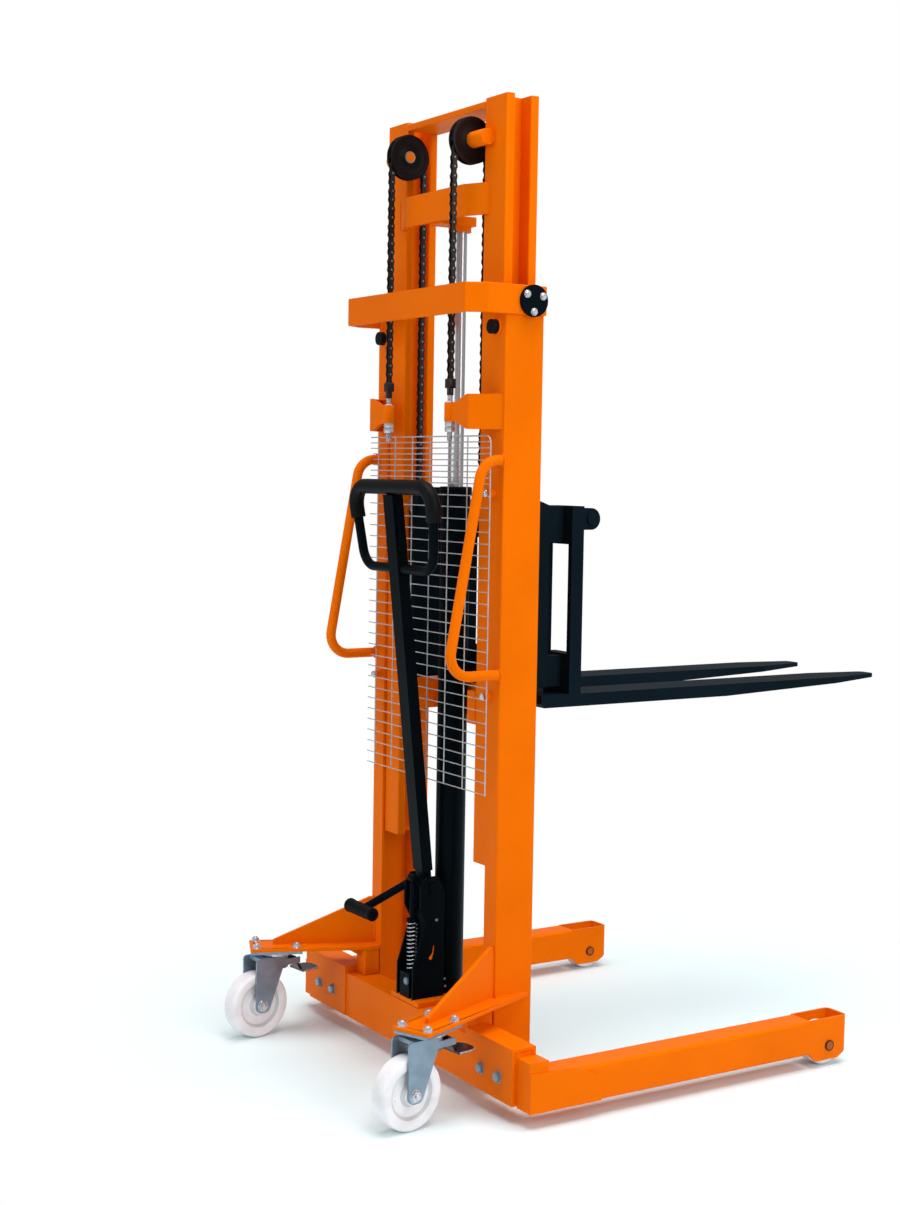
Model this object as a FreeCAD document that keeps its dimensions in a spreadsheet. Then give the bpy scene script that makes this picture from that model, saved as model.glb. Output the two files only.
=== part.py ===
"""Hand pallet stacker: a two-stage chain mast on straddle legs, lifted by a hand and foot pump.

The frame: +X is the operator's right, +Y runs forward along the forks, +Z is up.
The origin lies on the floor under the middle of the machine. Lengths are in millimetres.
The machine stands as in the photograph, with its forks raised part of the way.
"""
import FreeCAD, Part
import math
import os
import re
import Sketcher

Vector = FreeCAD.Vector

# Driving dimensions. Heights are above the floor. Places called forward or back are measured
# from the rear face of the mast columns, and places called out from the middle plane.
SIZES = {
    # gaps between pieces
    "fit_gap": 0.1,
    "running_gap": 0.05,
    "side_gap": 0.5,
    "roller_gap": 3,
    "roller_shim": 2,
    "same_spot": 0.0001,
    # outer mast: two bent-plate channels that open inwards
    "mast_width": 530,
    "column_width": 45,
    "column_depth": 95,
    "column_wall": 6,
    "column_round": 3,
    "column_foot": 36,
    "column_top": 1703,
    # flat bar bent round behind the column tops
    "strap_thick": 8,
    "strap_height": 61,
    "strap_back": 91,
    "strap_side": 50,
    "strap_bend": 248,
    # guide rollers at the column tops, each on a flanged eccentric stub
    "cap_radius": 33,
    "cap_thick": 8,
    "cap_forward": 60,
    "roller_height": 1671,
    "stub_radius": 10,
    "shoulder_radius": 13,
    "roller_width": 20,
    "cap_screw_radius": 7,
    "cap_screw_head": 5,
    "cap_screw_circle": 23,
    "cap_screw_turn": 26,
    # rubber buffers behind the columns
    "buffer_height": 1617,
    "buffer_out": 234,
    "buffer_radius": 15,
    "buffer_length": 13,
    "buffer_boss": 6,
    "buffer_lip": 2,
    # inner mast: two I-section uprights nested in the columns
    "inner_gap": 1.5,
    "inner_nest": 24,
    "inner_width": 84,
    "inner_flange": 20,
    "inner_web": 10,
    "inner_foot": 478.5,
    "inner_top_rise": 84,
    "foot_roller_rise": 45,
    "foot_roller_width": 11,
    # crossbars of the inner mast
    "top_bar_height": 14,
    "top_bar_drop": 5.5,
    "bar_thick": 8,
    "mid_bar_drop": 156,
    "mid_bar_height": 66,
    "mid_bar_bend": 120,
    "mid_bar_back": 20,
    "mid_bar_seat": 24,
    "low_bar_clear": 3.5,
    "low_bar_low": 775,
    "low_bar_height": 71,
    "low_bar_leg": 132,
    "low_bar_set": 2,
    # lift cylinder
    "cylinder_forward": 50,
    "barrel_radius": 33,
    "barrel_bore": 25,
    "barrel_top": 1262,
    "gland_radius": 36,
    "gland_height": 21,
    "rod_radius": 16,
    "rod_length": 1290,
    "piston_height": 30,
    "crosshead_half": 26,
    "crosshead_height": 20,
    "crosshead_drop": 5,
    "rod_cap_radius": 25,
    "rod_cap_height": 12,
    # lift chains and their pulleys
    "pulley_out": 129.7,
    "pulley_back": 8,
    "pulley_height": 2011,
    "pitch_radius": 41,
    "pulley_flange": 2.5,
    "pulley_flange_radius": 49.5,
    "pulley_pin_radius": 10,
    "pulley_boss_radius": 17,
    "pulley_boss_end": 197,
    "chain_thick": 13,
    "chain_width": 13,
    "chain_clear": 0.3,
    # fixed chain ends
    "anchor_out": 258,
    "anchor_bend": 208,
    "anchor_thick": 8,
    "anchor_low": 1405,
    "anchor_height": 73,
    "anchor_end_height": 40,
    "anchor_bush_radius": 12,
    "anchor_sweep": 30,
    "anchor_neck": 26,
    "anchor_toe": 9,
    "anchor_rod_radius": 6,
    "anchor_rod_tail": 41,
    "anchor_nut_radius": 11,
    "anchor_nut_height": 11,
    "clevis_width": 16,
    "clevis_height": 33,
    "clevis_rise": 16.5,
    # welded wire guard behind the mast
    "mesh_left": 226,
    "mesh_right": 247.5,
    "mesh_free_end": 32,
    "mesh_short_end": 21,
    "mesh_low": 637,
    "mesh_height": 756,
    "mesh_wire": 3,
    "mesh_back": 20,
    "mesh_rows": 30,
    "mesh_columns": 6,
    "mesh_column_pitch": 76,
    "mesh_screw_out": 231,
    "mesh_low_row": 8,
    "mesh_high_row": 25,
    "mesh_lug_radius": 8,
    "mesh_screw_radius": 8,
    "mesh_screw_head": 6,
    # push handles on the columns
    "handle_out": 260,
    "handle_radius": 11,
    "handle_low": 893,
    "handle_high": 1341,
    "handle_reach": 128,
    "handle_top_reach": 48,
    "handle_bend": 45,
    # base crossbeam and the sleeves at its ends
    "beam_half": 270,
    "beam_depth": 66,
    "beam_low": 36,
    "beam_height": 102,
    "beam_wall": 6,
    "sleeve_past_leg": 22.5,
    "sleeve_proud": 4,
    "sleeve_set": 12,
    "sleeve_low": 37,
    "sleeve_height": 118,
    "sleeve_wall": 8,
    "leg_bolt_inner_share": 0.32,
    "leg_bolt_outer_share": 0.7,
    "leg_bolt_height": 85,
    "leg_bolt_radius": 6,
    "leg_bolt_head_radius": 11,
    "leg_bolt_head": 8,
    # straddle legs
    "base_width": 977,
    "leg_width": 66,
    "leg_plate": 4,
    "leg_plate_front": 121,
    "leg_plate_slope": 67,
    "leg_plate_front_top": 80,
    "leg_plate_top": 110,
    "leg_plate_rear_top": 116,
    "leg_low": 32,
    "leg_height": 78,
    "leg_wall": 6,
    "leg_round": 8,
    "leg_step": 10,
    "leg_tail": 57,
    "leg_block_low": 33.5,
    "leg_block_height": 103.5,
    "leg_stub_start": 30,
    "housing_front": 812,
    "housing_length": 112,
    "housing_low": 15.5,
    "housing_height": 94,
    "housing_wall": 6,
    "housing_round": 14,
    "housing_slope": 29,
    "housing_slope_rise": 17,
    "housing_back_slope": 18,
    "front_wheel_radius": 47,
    "front_wheel_width": 46,
    "front_wheel_edge": 5,
    "front_wheel_forward": 757,
    "front_axle_radius": 8,
    "front_axle_head": 3.5,
    "front_axle_head_radius": 12,
    # caster brackets
    "caster_out": 345,
    "caster_back": 211,
    "strip_angle": 23,
    "strip_half": 44,
    "strip_tail": 60,
    "strip_trim": 26,
    "bracket_top": 206,
    "bracket_thick": 8,
    "gusset_thick": 10,
    "gusset_start": -6,
    "gusset_height": 109,
    "gusset_tip": 12,
    "rib_out": 244,
    "rib_thick": 8,
    "rib_length": 70,
    "rib_height": 44,
    # casters
    "caster_swivel": 8,
    "caster_trail": 54.5,
    "wheel_hub_share": 0.28,
    "wheel_dish_share": 0.36,
    "wheel_rim_share": 0.68,
    "wheel_lip_share": 0.76,
    "caster_wheel_radius": 75,
    "caster_wheel_width": 44,
    "caster_edge": 6,
    "caster_plate_thick": 6,
    "caster_plate_half": 42,
    "caster_bolt_across": 31.5,
    "caster_bolt_along": 46,
    "caster_bolt_radius": 5,
    "caster_nut_radius": 9,
    "caster_dome_height": 12,
    "caster_dome_radius": 6,
    "caster_nut_height": 9,
    "caster_race_radius": 36,
    "caster_race_height": 7,
    "caster_king_radius": 10,
    "caster_head_height": 17,
    "caster_cheek": 4,
    "caster_cheek_rear": 72,
    "caster_cheek_front": 2,
    "caster_cheek_drop": 27,
    "caster_shoulder": 30,
    "caster_foot": 17,
    "caster_foot_round": 15,
    "caster_bridge_rear": 58,
    "caster_cheek_gap": 3,
    "caster_axle_radius": 6,
    "caster_axle_head": 7,
    "caster_axle_head_radius": 11,
    "brake_reach": 68,
    "brake_half": 27,
    "brake_round": 20,
    "brake_bend": 17,
    "brake_hub_half": 14,
    "brake_thick": 5,
    "brake_drop": 27,
    "brake_hub_radius": 7,
    "brake_pin_radius": 4,
    # pump bracket and pump
    "pump_plate_half": 60,
    "pump_plate_back": 64,
    "pump_plate_front": 86,
    "pump_plate_thick": 12,
    "cheek_half": 36,
    "cheek_thick": 6,
    "cheek_front": 16,
    "cheek_top": 422,
    "pump_back": 22,
    "pump_top": 335,
    "pump_lug_half": 20,
    "pump_lug_back": 64,
    "pump_lug_top": 205,
    "plunger_radius": 7,
    "plunger_foot": 190,
    "plunger_pocket": 152,
    "plunger_collar_radius": 14,
    "plunger_collar": 6,
    "spring_height": 113,
    "spring_wire": 3.2,
    "spring_radius": 11.5,
    "spring_turns": 12,
    # tiller, leaning back on its pivot
    "pivot_back": 17,
    "pivot_height": 400,
    "pivot_pin_radius": 8,
    "pivot_pin_out": 40,
    "tiller_lean": 6.2,
    "tiller_boss_radius": 17,
    "tiller_boss_half": 28,
    "nose_back": 26.3,
    "nose_up": 17,
    "nose_radius": 9,
    "nose_half": 12,
    "shaft_width": 40,
    "shaft_depth": 27,
    "shaft_wall": 3,
    "shaft_low": 32,
    "neck_top": 90,
    "loop_low": 708,
    "loop_high": 886,
    "loop_low_half": 146,
    "loop_high_half": 172,
    "loop_bend": 44,
    "loop_tube_radius": 10.5,
    "loop_grip_radius": 16.5,
    "loop_grip_low": 815,
    "lever_up": 46,
    "lever_length": 92,
    "lever_width": 14,
    "lever_thick": 7,
    "lever_hub_radius": 10,
    "lever_pin_radius": 4,
    # foot pedal
    "pedal_hub_radius": 15,
    "pedal_hub_width": 12,
    "pedal_gap": 2,
    "pedal_bar_radius": 9,
    "pedal_back": 129,
    "pedal_height": 335,
    "pedal_grip_inner": 31,
    "pedal_grip_length": 106,
    "pedal_grip_radius": 16,
    "pedal_join": 84,
    # carriage
    "carriage_side_inner": 140,
    "carriage_side_thick": 12,
    "carriage_side_back": 29,
    "carriage_side_front": 200,
    "carriage_side_low": 845,
    "carriage_side_high": 1280,
    "carriage_axle_radius": 10,
    "carriage_roller_width": 20,
    "carriage_low_roller": 905,
    "carriage_high_roller": 1235,
    "lug_width": 22,
    "lug_depth": 20,
    "lug_low": 1240,
    "carriage_bar_depth": 36,
    "carriage_top_bar_low": 1165,
    "carriage_top_bar_height": 80,
    "carriage_low_bar_low": 845,
    "carriage_low_bar_height": 70,
    "arm_inner": 25,
    "arm_thick": 15,
    # forks on their round bar
    "fork_bar_radius": 13,
    "fork_bar_forward": 288,
    "fork_bar_height": 1217,
    "fork_bar_half": 190,
    "fork_spacing": 268,
    "fork_width": 100,
    "fork_reach": 1190,
    "fork_heel_forward": 163,
    "fork_top": 832,
    "fork_heel_thick": 28,
    "fork_belly": 690,
    "fork_tip_thick": 9,
    "fork_tip_width": 46,
    "fork_taper": 150,
    "shank_gap": 0.5,
    "shank_thick": 32,
    "shank_upright": 13,
    "shank_inner_thick": 11,
    "shank_sill": 88,
    "shank_head_drop": 56,
    "shank_over_bar": 28,
    "ear_radius": 24,
}

# Places that follow from the driving dimensions.
PLACES = {
    "rear_reach": "caster_back + (caster_trail + caster_wheel_radius) * cos(caster_swivel)"
                  " + (caster_wheel_width / 2 - caster_edge) * sin(caster_swivel)",
    "mast": "(rear_reach - fork_reach) / 2",
    "column_outer": "mast_width / 2",
    "column_inner": "mast_width / 2 - column_width",
    "column_front": "mast + column_depth",
    "strap_outer": "column_outer + strap_thick",
    "strap_lean": "atan((strap_outer - strap_bend) / (strap_back - strap_side))",
    "inner_rear": "mast + column_wall + inner_gap",
    "inner_front": "column_front - column_wall - inner_gap",
    "inner_mid": "mast + column_depth / 2",
    "inner_outer": "column_inner + inner_nest",
    "inner_inner": "inner_outer - inner_width",
    "web_outer": "inner_outer - (inner_width - inner_web) / 2",
    "web_inner": "inner_inner + (inner_width - inner_web) / 2",
    "groove_radius": "column_depth / 2 - column_wall - inner_gap - inner_flange",
    "roller_inner": "web_outer + roller_gap",
    "foot_roller_height": "inner_foot + foot_roller_rise",
    "cylinder_y": "mast + cylinder_forward",
    "beam_top": "beam_low + beam_height",
    "plate_top": "beam_top + pump_plate_thick",
    "mid_bar_low": "pulley_height - mid_bar_drop",
    "rod_top": "mid_bar_low - crosshead_drop",
    "inner_top": "pulley_height + inner_top_rise",
    "pulley_y": "mast - pulley_back",
    "chain_rear_y": "pulley_y - pitch_radius",
    "chain_front_y": "pulley_y + pitch_radius",
    "pulley_half": "chain_width / 2 + side_gap + pulley_flange",
    "anchor_mid": "anchor_low + anchor_height / 2",
    "anchor_end_low": "anchor_mid - anchor_end_height / 2",
    "anchor_end_top": "anchor_mid + anchor_end_height / 2",
    "clevis_low": "anchor_end_top + clevis_rise",
    "chain_low": "clevis_low + clevis_height",
    "mesh_pitch": "(mesh_height - mesh_wire) / mesh_rows",
    "mesh_screw_rise": "mesh_wire + mesh_screw_radius / 2 + fit_gap",
    "mesh_rear": "mast - mesh_back - mesh_wire / 2",
    "mesh_fore": "mast - mesh_back + mesh_wire / 2",
    "base_half": "base_width / 2",
    "leg_outer": "base_half - leg_plate",
    "leg_inner": "leg_outer - leg_width",
    "sleeve_out": "leg_inner + sleeve_past_leg",
    "leg_stub_inner": "beam_half + leg_stub_start",
    "front_wheel_y": "mast + front_wheel_forward",
    "leg_mid": "(leg_inner + leg_outer) / 2",
    "sleeve_rear": "mast - beam_depth - sleeve_proud",
    "sleeve_front": "mast - sleeve_set",
    "caster_y": "mast - caster_back",
    "strip_cos": "cos(strip_angle)",
    "strip_sin": "sin(strip_angle)",
    "strip_rear_x": "caster_out + strip_tail * strip_sin",
    "strip_rear_y": "caster_y - strip_tail * strip_cos",
    "caster_plate_low": "bracket_top - bracket_thick - caster_plate_thick",
    "caster_race_low": "caster_plate_low - caster_race_height",
    "caster_head_low": "caster_race_low - side_gap - caster_head_height",
    "caster_head_top": "caster_head_low + caster_head_height",
    "caster_fork_half": "caster_wheel_width / 2 + caster_cheek_gap + caster_cheek",
    "brake_forward": "caster_race_radius + brake_hub_radius",
    "pivot_y": "mast - pivot_back",
    "lean_cos": "cos(tiller_lean)",
    "lean_sin": "sin(tiller_lean)",
    "plunger_y": "pivot_y - nose_back * lean_cos - nose_up * lean_sin",
    "plunger_top": "pivot_height - nose_back * lean_sin + nose_up * lean_cos - nose_radius - side_gap",
    "collar_low": "pump_lug_top + spring_height",
    "lever_rise": "loop_low + lever_up",
    "pedal_y": "mast - pedal_back",
    "pedal_hub_outer": "cheek_half + pedal_gap + pedal_hub_width",
    "carriage_side_outer": "carriage_side_inner + carriage_side_thick",
    "carriage_bar_front": "mast + carriage_side_front + carriage_bar_depth",
    "shank_rear": "carriage_bar_front + shank_gap",
    "shank_front": "shank_rear + shank_thick",
    "shank_window_low": "fork_top + shank_sill",
    "shank_window_high": "fork_bar_height - shank_head_drop",
    "shank_top": "fork_bar_height + shank_over_bar",
    "fork_bar_y": "mast + fork_bar_forward",
    "fork_inner": "(fork_spacing - fork_width) / 2",
    "fork_outer": "(fork_spacing + fork_width) / 2",
}

doc = FreeCAD.newDocument("hand_pallet_stacker")
sheet = doc.addObject("Spreadsheet::Sheet", "sizes")
for row, (alias, size) in enumerate(SIZES.items(), 1):
    sheet.set(f"A{row}", alias.replace("_", " "))
    sheet.set(f"B{row}", str(size))
    sheet.setAlias(f"B{row}", alias)
doc.recompute()

nodes = []


def formula(text):
    """Write a size or place in terms of the sheet's cells."""
    def reference(match):
        word = match.group(0)
        if word in PLACES:
            return "(" + formula(PLACES[word]) + ")"
        if word in SIZES:
            return "sizes." + word
        return word
    return re.sub(r"[a-z][a-z_0-9]*", reference, str(text))


def number(text):
    """The present value of a size or place."""
    value = sheet.evalExpression(formula(text))
    return float(getattr(value, "Value", value))


def bind(thing, path, text):
    thing.setExpression(path, formula(text))


def place(thing, x, y, z):
    bind(thing, "Placement.Base.x", x)
    bind(thing, "Placement.Base.y", y)
    bind(thing, "Placement.Base.z", z)


def turn(thing, axis, angle):
    thing.Placement.Rotation = FreeCAD.Rotation(axis, 1)
    bind(thing, "Placement.Rotation.Angle", angle)


def block(label, x, y, z):
    """A rectangular block from (low, high) pairs."""
    thing = doc.addObject("Part::Box", label)
    for path, (low, high) in zip(("Length", "Width", "Height"), (x, y, z)):
        bind(thing, path, f"({high}) - ({low})")
    place(thing, x[0], y[0], z[0])
    return thing


def round_bar(label, axis, span, across, radius):
    """A cylinder along one axis; across gives the other two coordinates in X, Y, Z order."""
    thing = doc.addObject("Part::Cylinder", label)
    bind(thing, "Radius", radius)
    bind(thing, "Height", f"({span[1]}) - ({span[0]})")
    if axis == "x":
        thing.Placement.Rotation = FreeCAD.Rotation(Vector(0, 1, 0), 90)
        place(thing, span[0], across[0], across[1])
    elif axis == "y":
        thing.Placement.Rotation = FreeCAD.Rotation(Vector(1, 0, 0), -90)
        place(thing, across[0], span[0], across[1])
    else:
        place(thing, across[0], across[1], span[0])
    return thing


def hex_head(label, axis, span, across, radius):
    """A hexagon head or nut along one axis; radius reaches its corners."""
    thing = doc.addObject("Part::Prism", label)
    thing.Polygon = 6
    bind(thing, "Circumradius", radius)
    bind(thing, "Height", f"({span[1]}) - ({span[0]})")
    if axis == "x":
        thing.Placement.Rotation = FreeCAD.Rotation(Vector(0, 1, 0), 90)
        place(thing, span[0], across[0], across[1])
    elif axis == "y":
        thing.Placement.Rotation = FreeCAD.Rotation(Vector(1, 0, 0), -90)
        place(thing, across[0], span[0], across[1])
    else:
        place(thing, across[0], across[1], span[0])
    return thing


def draw(body, plane, outline):
    """A closed outline on one of the body's origin planes, each corner set by the sheet."""
    sketch = body.newObject("Sketcher::SketchObject", body.Label + "_outline")
    support = [item for item in body.Origin.OriginFeatures if item.Role == plane + "_Plane"][0]
    sketch.AttachmentSupport = [(support, "")]
    sketch.MapMode = "FlatFace"
    corners = [Vector(number(across), number(up), 0) for across, up in outline]
    count = len(corners)
    for index in range(count):
        sketch.addGeometry(Part.LineSegment(corners[index], corners[(index + 1) % count]))
    for index in range(count):
        sketch.addConstraint(Sketcher.Constraint("Coincident", index, 2, (index + 1) % count, 1))
    for index, (across, up) in enumerate(outline):
        rule = Sketcher.Constraint("DistanceX", -1, 1, index, 1, corners[index].x)
        bind(sketch, f"Constraints[{sketch.addConstraint(rule)}]", across)
        rule = Sketcher.Constraint("DistanceY", -1, 1, index, 1, corners[index].y)
        bind(sketch, f"Constraints[{sketch.addConstraint(rule)}]", up)
    return sketch


def round_corners(body, plane, outline, radius, corners):
    """Round the edges that stand on the named corners of a plate's outline."""
    doc.recompute()
    base = body.Tip
    first, second = {"XY": ("x", "y"), "XZ": ("x", "z"), "YZ": ("y", "z")}[plane]
    names = []
    for index, edge in enumerate(base.Shape.Edges, 1):
        ends = [vertex.Point for vertex in edge.Vertexes]
        for corner in corners:
            spot = (number(outline[corner][0]), number(outline[corner][1]))
            offsets = [math.hypot(getattr(end, first) - spot[0], getattr(end, second) - spot[1])
                       for end in ends]
            if len(ends) == 2 and max(offsets) < number("same_spot"):
                names.append(f"Edge{index}")
    fillet = body.newObject("PartDesign::Fillet", body.Label + "_round")
    fillet.Base = (base, names)
    bind(fillet, "Radius", radius)
    body.Tip = fillet


def plate(label, plane, outline, low, high, rounds=()):
    """An outline padded square to its plane from low to high, with some corners rounded."""
    body = doc.addObject("PartDesign::Body", label)
    pad = body.newObject("PartDesign::Pad", label + "_pad")
    pad.Profile = draw(body, plane, outline)
    bind(pad, "Length", f"({high}) - ({low})")
    pad.Reversed = plane == "XZ"
    body.Tip = pad
    bind(body, "Placement.Base." + {"XY": "z", "XZ": "y", "YZ": "x"}[plane], low)
    for radius, corners in rounds:
        round_corners(body, plane, outline, radius, corners)
    return body


def turned(label, outline):
    """A wheel or roller turned about the X axis; the outline gives (along, radius) corners."""
    body = doc.addObject("PartDesign::Body", label)
    spin = body.newObject("PartDesign::Revolution", label + "_spin")
    sketch = draw(body, "XY", outline)
    spin.Profile = sketch
    spin.ReferenceAxis = (sketch, ["H_Axis"])
    spin.Angle = 360
    body.Tip = spin
    return body


def join(label, *things):
    fused = doc.addObject("Part::MultiFuse", label)
    fused.Shapes = list(things)
    fused.Refine = True
    return fused


def cut(label, base, *tools):
    result = doc.addObject("Part::Cut", label)
    result.Base = base
    result.Tool = tools[0] if len(tools) == 1 else join(label + "_tools", *tools)
    return result


def mirror(label, source):
    """The left-hand copy of a right-hand piece."""
    copy = doc.addObject("Part::Mirroring", label)
    copy.Source = source
    copy.Normal = Vector(1, 0, 0)
    copy.Base = Vector(0, 0, 0)
    return copy


def group(label, *things):
    """Like pieces that share one node, each a solid of its own."""
    compound = doc.addObject("Part::Compound", label)
    compound.Links = list(things)
    return compound


def pair(label, right):
    """A right-hand piece and its left-hand copy in one node."""
    return group(label, right, mirror(label + "_left", right))


def shaped(label, shape):
    """A piece whose form is worked out point by point."""
    feature = doc.addObject("Part::Feature", label)
    feature.Shape = shape
    return feature


def keep(*things):
    nodes.extend(things)


def bent_path(points, bend, closed=False):
    """Straight runs joined by tangent arcs of one bend radius."""
    count = len(points)
    stops = []
    for index in range(count):
        if not closed and index in (0, count - 1):
            stops.append((points[index], None, points[index]))
            continue
        before = (points[index] - points[index - 1]).normalize()
        after = (points[(index + 1) % count] - points[index]).normalize()
        half = before.getAngle(after) / 2
        inward = (after - before).normalize()
        centre = points[index] + inward * (bend / math.cos(half))
        reach = bend * math.tan(half)
        stops.append((points[index] - before * reach, centre - inward * bend,
                      points[index] + after * reach))
    edges = []
    for index in range(count):
        start, middle, end = stops[index]
        if index > 0:
            edges.append(Part.LineSegment(stops[index - 1][2], start).toShape())
        if middle is not None:
            edges.append(Part.Arc(start, middle, end).toShape())
    if closed:
        edges.append(Part.LineSegment(stops[-1][2], stops[0][0]).toShape())
        edges = edges[1:] + edges[:1]
    return Part.Wire(edges)


def tube(path, radius):
    """A round bar swept along a path."""
    first = path.Edges[0]
    start = first.valueAt(first.FirstParameter)
    ring = Part.makeCircle(radius, start, first.tangentAt(first.FirstParameter))
    return path.makePipeShell([Part.Wire(ring)], True, False)


def biarc(start, start_way, end, end_way):
    """Two tangent arcs from one point and heading to another."""
    step = end - start
    ways = start_way + end_way
    spare = 2 * (1 - start_way.dot(end_way))
    along = step.dot(ways)
    reach = (math.sqrt(along * along + spare * step.dot(step)) - along) / spare
    corner_one = start + start_way * reach
    corner_two = end - end_way * reach
    middle = (corner_one + corner_two) * 0.5
    arcs = []
    for first, corner, last in ((start, corner_one, middle), (middle, corner_two, end)):
        weight = math.cos((corner - first).getAngle(last - first))
        crown = (first + corner * (2 * weight) + last) * (1 / (2 + 2 * weight))
        arcs.append(Part.Arc(first, crown, last).toShape())
    return arcs


# Outer mast columns, with the welded bosses that hold the buffers and the wire guard.
column_outline = [
    ("column_inner", "mast"),
    ("column_outer", "mast"),
    ("column_outer", "column_front"),
    ("column_inner", "column_front"),
    ("column_inner", "column_front - column_wall"),
    ("column_outer - column_wall", "column_front - column_wall"),
    ("column_outer - column_wall", "mast + column_wall"),
    ("column_inner", "mast + column_wall"),
]
column_channel = plate("column_channel", "XY", column_outline, "column_foot", "column_top",
                       [("column_round", (1, 2))])
buffer_boss = round_bar("buffer_boss_right", "y", ("mast - buffer_boss", "mast"),
                        ("buffer_out", "buffer_height"), "buffer_radius + buffer_lip")
mesh_lugs = []
for place_name in ("low", "high"):
    lug_height = f"mesh_low + mesh_pitch * mesh_{place_name}_row + mesh_screw_rise"
    mesh_lugs.append(round_bar(f"mesh_lug_{place_name}", "y", ("mesh_fore", "mast"),
                               ("mesh_screw_out", lug_height), "mesh_lug_radius"))
column_welded = join("column_welded", column_channel, buffer_boss, *mesh_lugs)
stub_hole = round_bar("column_stub_hole", "x",
                      ("column_outer - 2 * column_wall", "column_outer + column_wall"),
                      ("inner_mid", "roller_height"), "shoulder_radius + fit_gap")
mast_column_right = cut("mast_column_right", column_welded, stub_hole)
keep(mast_column_right, mirror("mast_column_left", mast_column_right))

# Flat bar bent round behind the mast and welded to the outsides of the columns.
strap_half = [
    ("strap_outer", "column_front"),
    ("strap_outer", "mast - strap_side"),
    ("strap_bend", "mast - strap_back"),
]
strap_inside = [
    ("column_outer", "column_front"),
    ("column_outer", "mast - strap_side + strap_thick * tan(strap_lean / 2)"),
    ("strap_bend - strap_thick * tan(45 deg - strap_lean / 2)", "mast - strap_back + strap_thick"),
]
strap_outline = strap_half + [(f"0 - ({x})", y) for x, y in reversed(strap_half)]
strap_outline += [(f"0 - ({x})", y) for x, y in strap_inside] + list(reversed(strap_inside))
strap_bar = plate("strap_bar", "XY", strap_outline, "column_top - strap_height", "column_top")
strap_hole = round_bar("strap_stub_hole", "x",
                       ("0 - strap_outer - strap_thick", "strap_outer + strap_thick"),
                       ("inner_mid", "roller_height"), "shoulder_radius + fit_gap")
keep(cut("mast_top_strap", strap_bar, strap_hole))

# Flanged stubs that carry the upper guide rollers, and the rollers in the outer grooves.
cap_disc = round_bar("cap_disc", "x", ("strap_outer", "strap_outer + cap_thick"),
                     ("mast + cap_forward", "roller_height"), "cap_radius")
cap_shoulder = round_bar("cap_shoulder", "x", ("roller_inner + roller_width + side_gap", "strap_outer"),
                         ("inner_mid", "roller_height"), "shoulder_radius")
cap_stub = round_bar("cap_stub", "x", ("roller_inner", "strap_outer"), ("inner_mid", "roller_height"),
                     "stub_radius")
keep(pair("roller_caps", join("roller_cap_right", cap_disc, cap_shoulder, cap_stub)))

cap_screws = []
for index in range(3):
    angle = f"(cap_screw_turn + {120 * index})"
    cap_screws.append(hex_head(f"cap_screw_{index}", "x",
                               ("strap_outer + cap_thick", "strap_outer + cap_thick + cap_screw_head"),
                               (f"mast + cap_forward + cap_screw_circle * cos({angle})",
                                f"roller_height + cap_screw_circle * sin({angle})"), "cap_screw_radius"))
mesh_screws = []
for lug in ("low", "high"):
    lug_height = f"mesh_low + mesh_pitch * mesh_{lug}_row + mesh_screw_rise"
    screw_head = round_bar(f"mesh_screw_head_{lug}", "y", ("mesh_rear - mesh_screw_head", "mesh_rear"),
                           ("mesh_screw_out", lug_height), "mesh_screw_radius")
    screw_shank = round_bar(f"mesh_screw_shank_{lug}", "y", ("mesh_rear", "mesh_fore"),
                            ("mesh_screw_out", lug_height), "mesh_screw_radius / 2")
    mesh_screws.append(join(f"mesh_screw_{lug}", screw_head, screw_shank))
keep(pair("mast_screws", group("mast_screws_right", *cap_screws, *mesh_screws)))


def roller(label, low, width, radius, bore, y, z):
    """A guide roller with chamfered rims, turned about the X axis."""
    rim = "roller_width / 10"
    body = turned(label, [
        ("0", bore),
        (width, bore),
        (width, f"{radius} - {rim}"),
        (f"{width} - {rim}", radius),
        (rim, radius),
        ("0", f"{radius} - {rim}"),
    ])
    place(body, low, y, z)
    return body


keep(pair("mast_rollers", roller("mast_roller_right", "roller_inner", "roller_width",
                                 "groove_radius - side_gap",
                                 "stub_radius + running_gap", "inner_mid", "roller_height")))

# Rubber buffers on the bosses behind the columns.
keep(pair("rubber_buffers", round_bar("rubber_buffer_right", "y",
                                      ("mast - buffer_boss - buffer_length", "mast - buffer_boss"),
                                      ("buffer_out", "buffer_height"), "buffer_radius")))

# Brackets and threaded rods that hold the fixed ends of the lift chains.
anchor_outline = [
    ("anchor_out", "mast"),
    ("anchor_bend", "chain_rear_y - anchor_thick / 2"),
    ("pulley_out", "chain_rear_y - anchor_thick / 2"),
    ("pulley_out", "chain_rear_y + anchor_thick / 2"),
    ("anchor_bend - anchor_thick / 2", "chain_rear_y + anchor_thick / 2"),
    ("anchor_out - anchor_toe", "mast"),
]
anchor_plate = plate("anchor_plate", "XY", anchor_outline, "anchor_low", "anchor_low + anchor_height")
anchor_top = "anchor_low + anchor_height"
anchor_face = plate("anchor_face", "XZ", [
    ("pulley_out - anchor_bush_radius", "anchor_end_low"),
    ("pulley_out + anchor_neck", "anchor_end_low"),
    ("anchor_bend - anchor_thick", "anchor_low"),
    ("anchor_out", "anchor_low"),
    ("anchor_out", anchor_top),
    ("anchor_bend - anchor_thick", anchor_top),
    ("pulley_out + anchor_neck", "anchor_end_top"),
    ("pulley_out - anchor_bush_radius", "anchor_end_top"),
], "chain_rear_y - anchor_thick", "mast", [("anchor_sweep", (1, 2, 5, 6))])
anchor_shape = doc.addObject("Part::Common", "anchor_shape")
anchor_shape.Base = anchor_plate
anchor_shape.Tool = anchor_face
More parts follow.
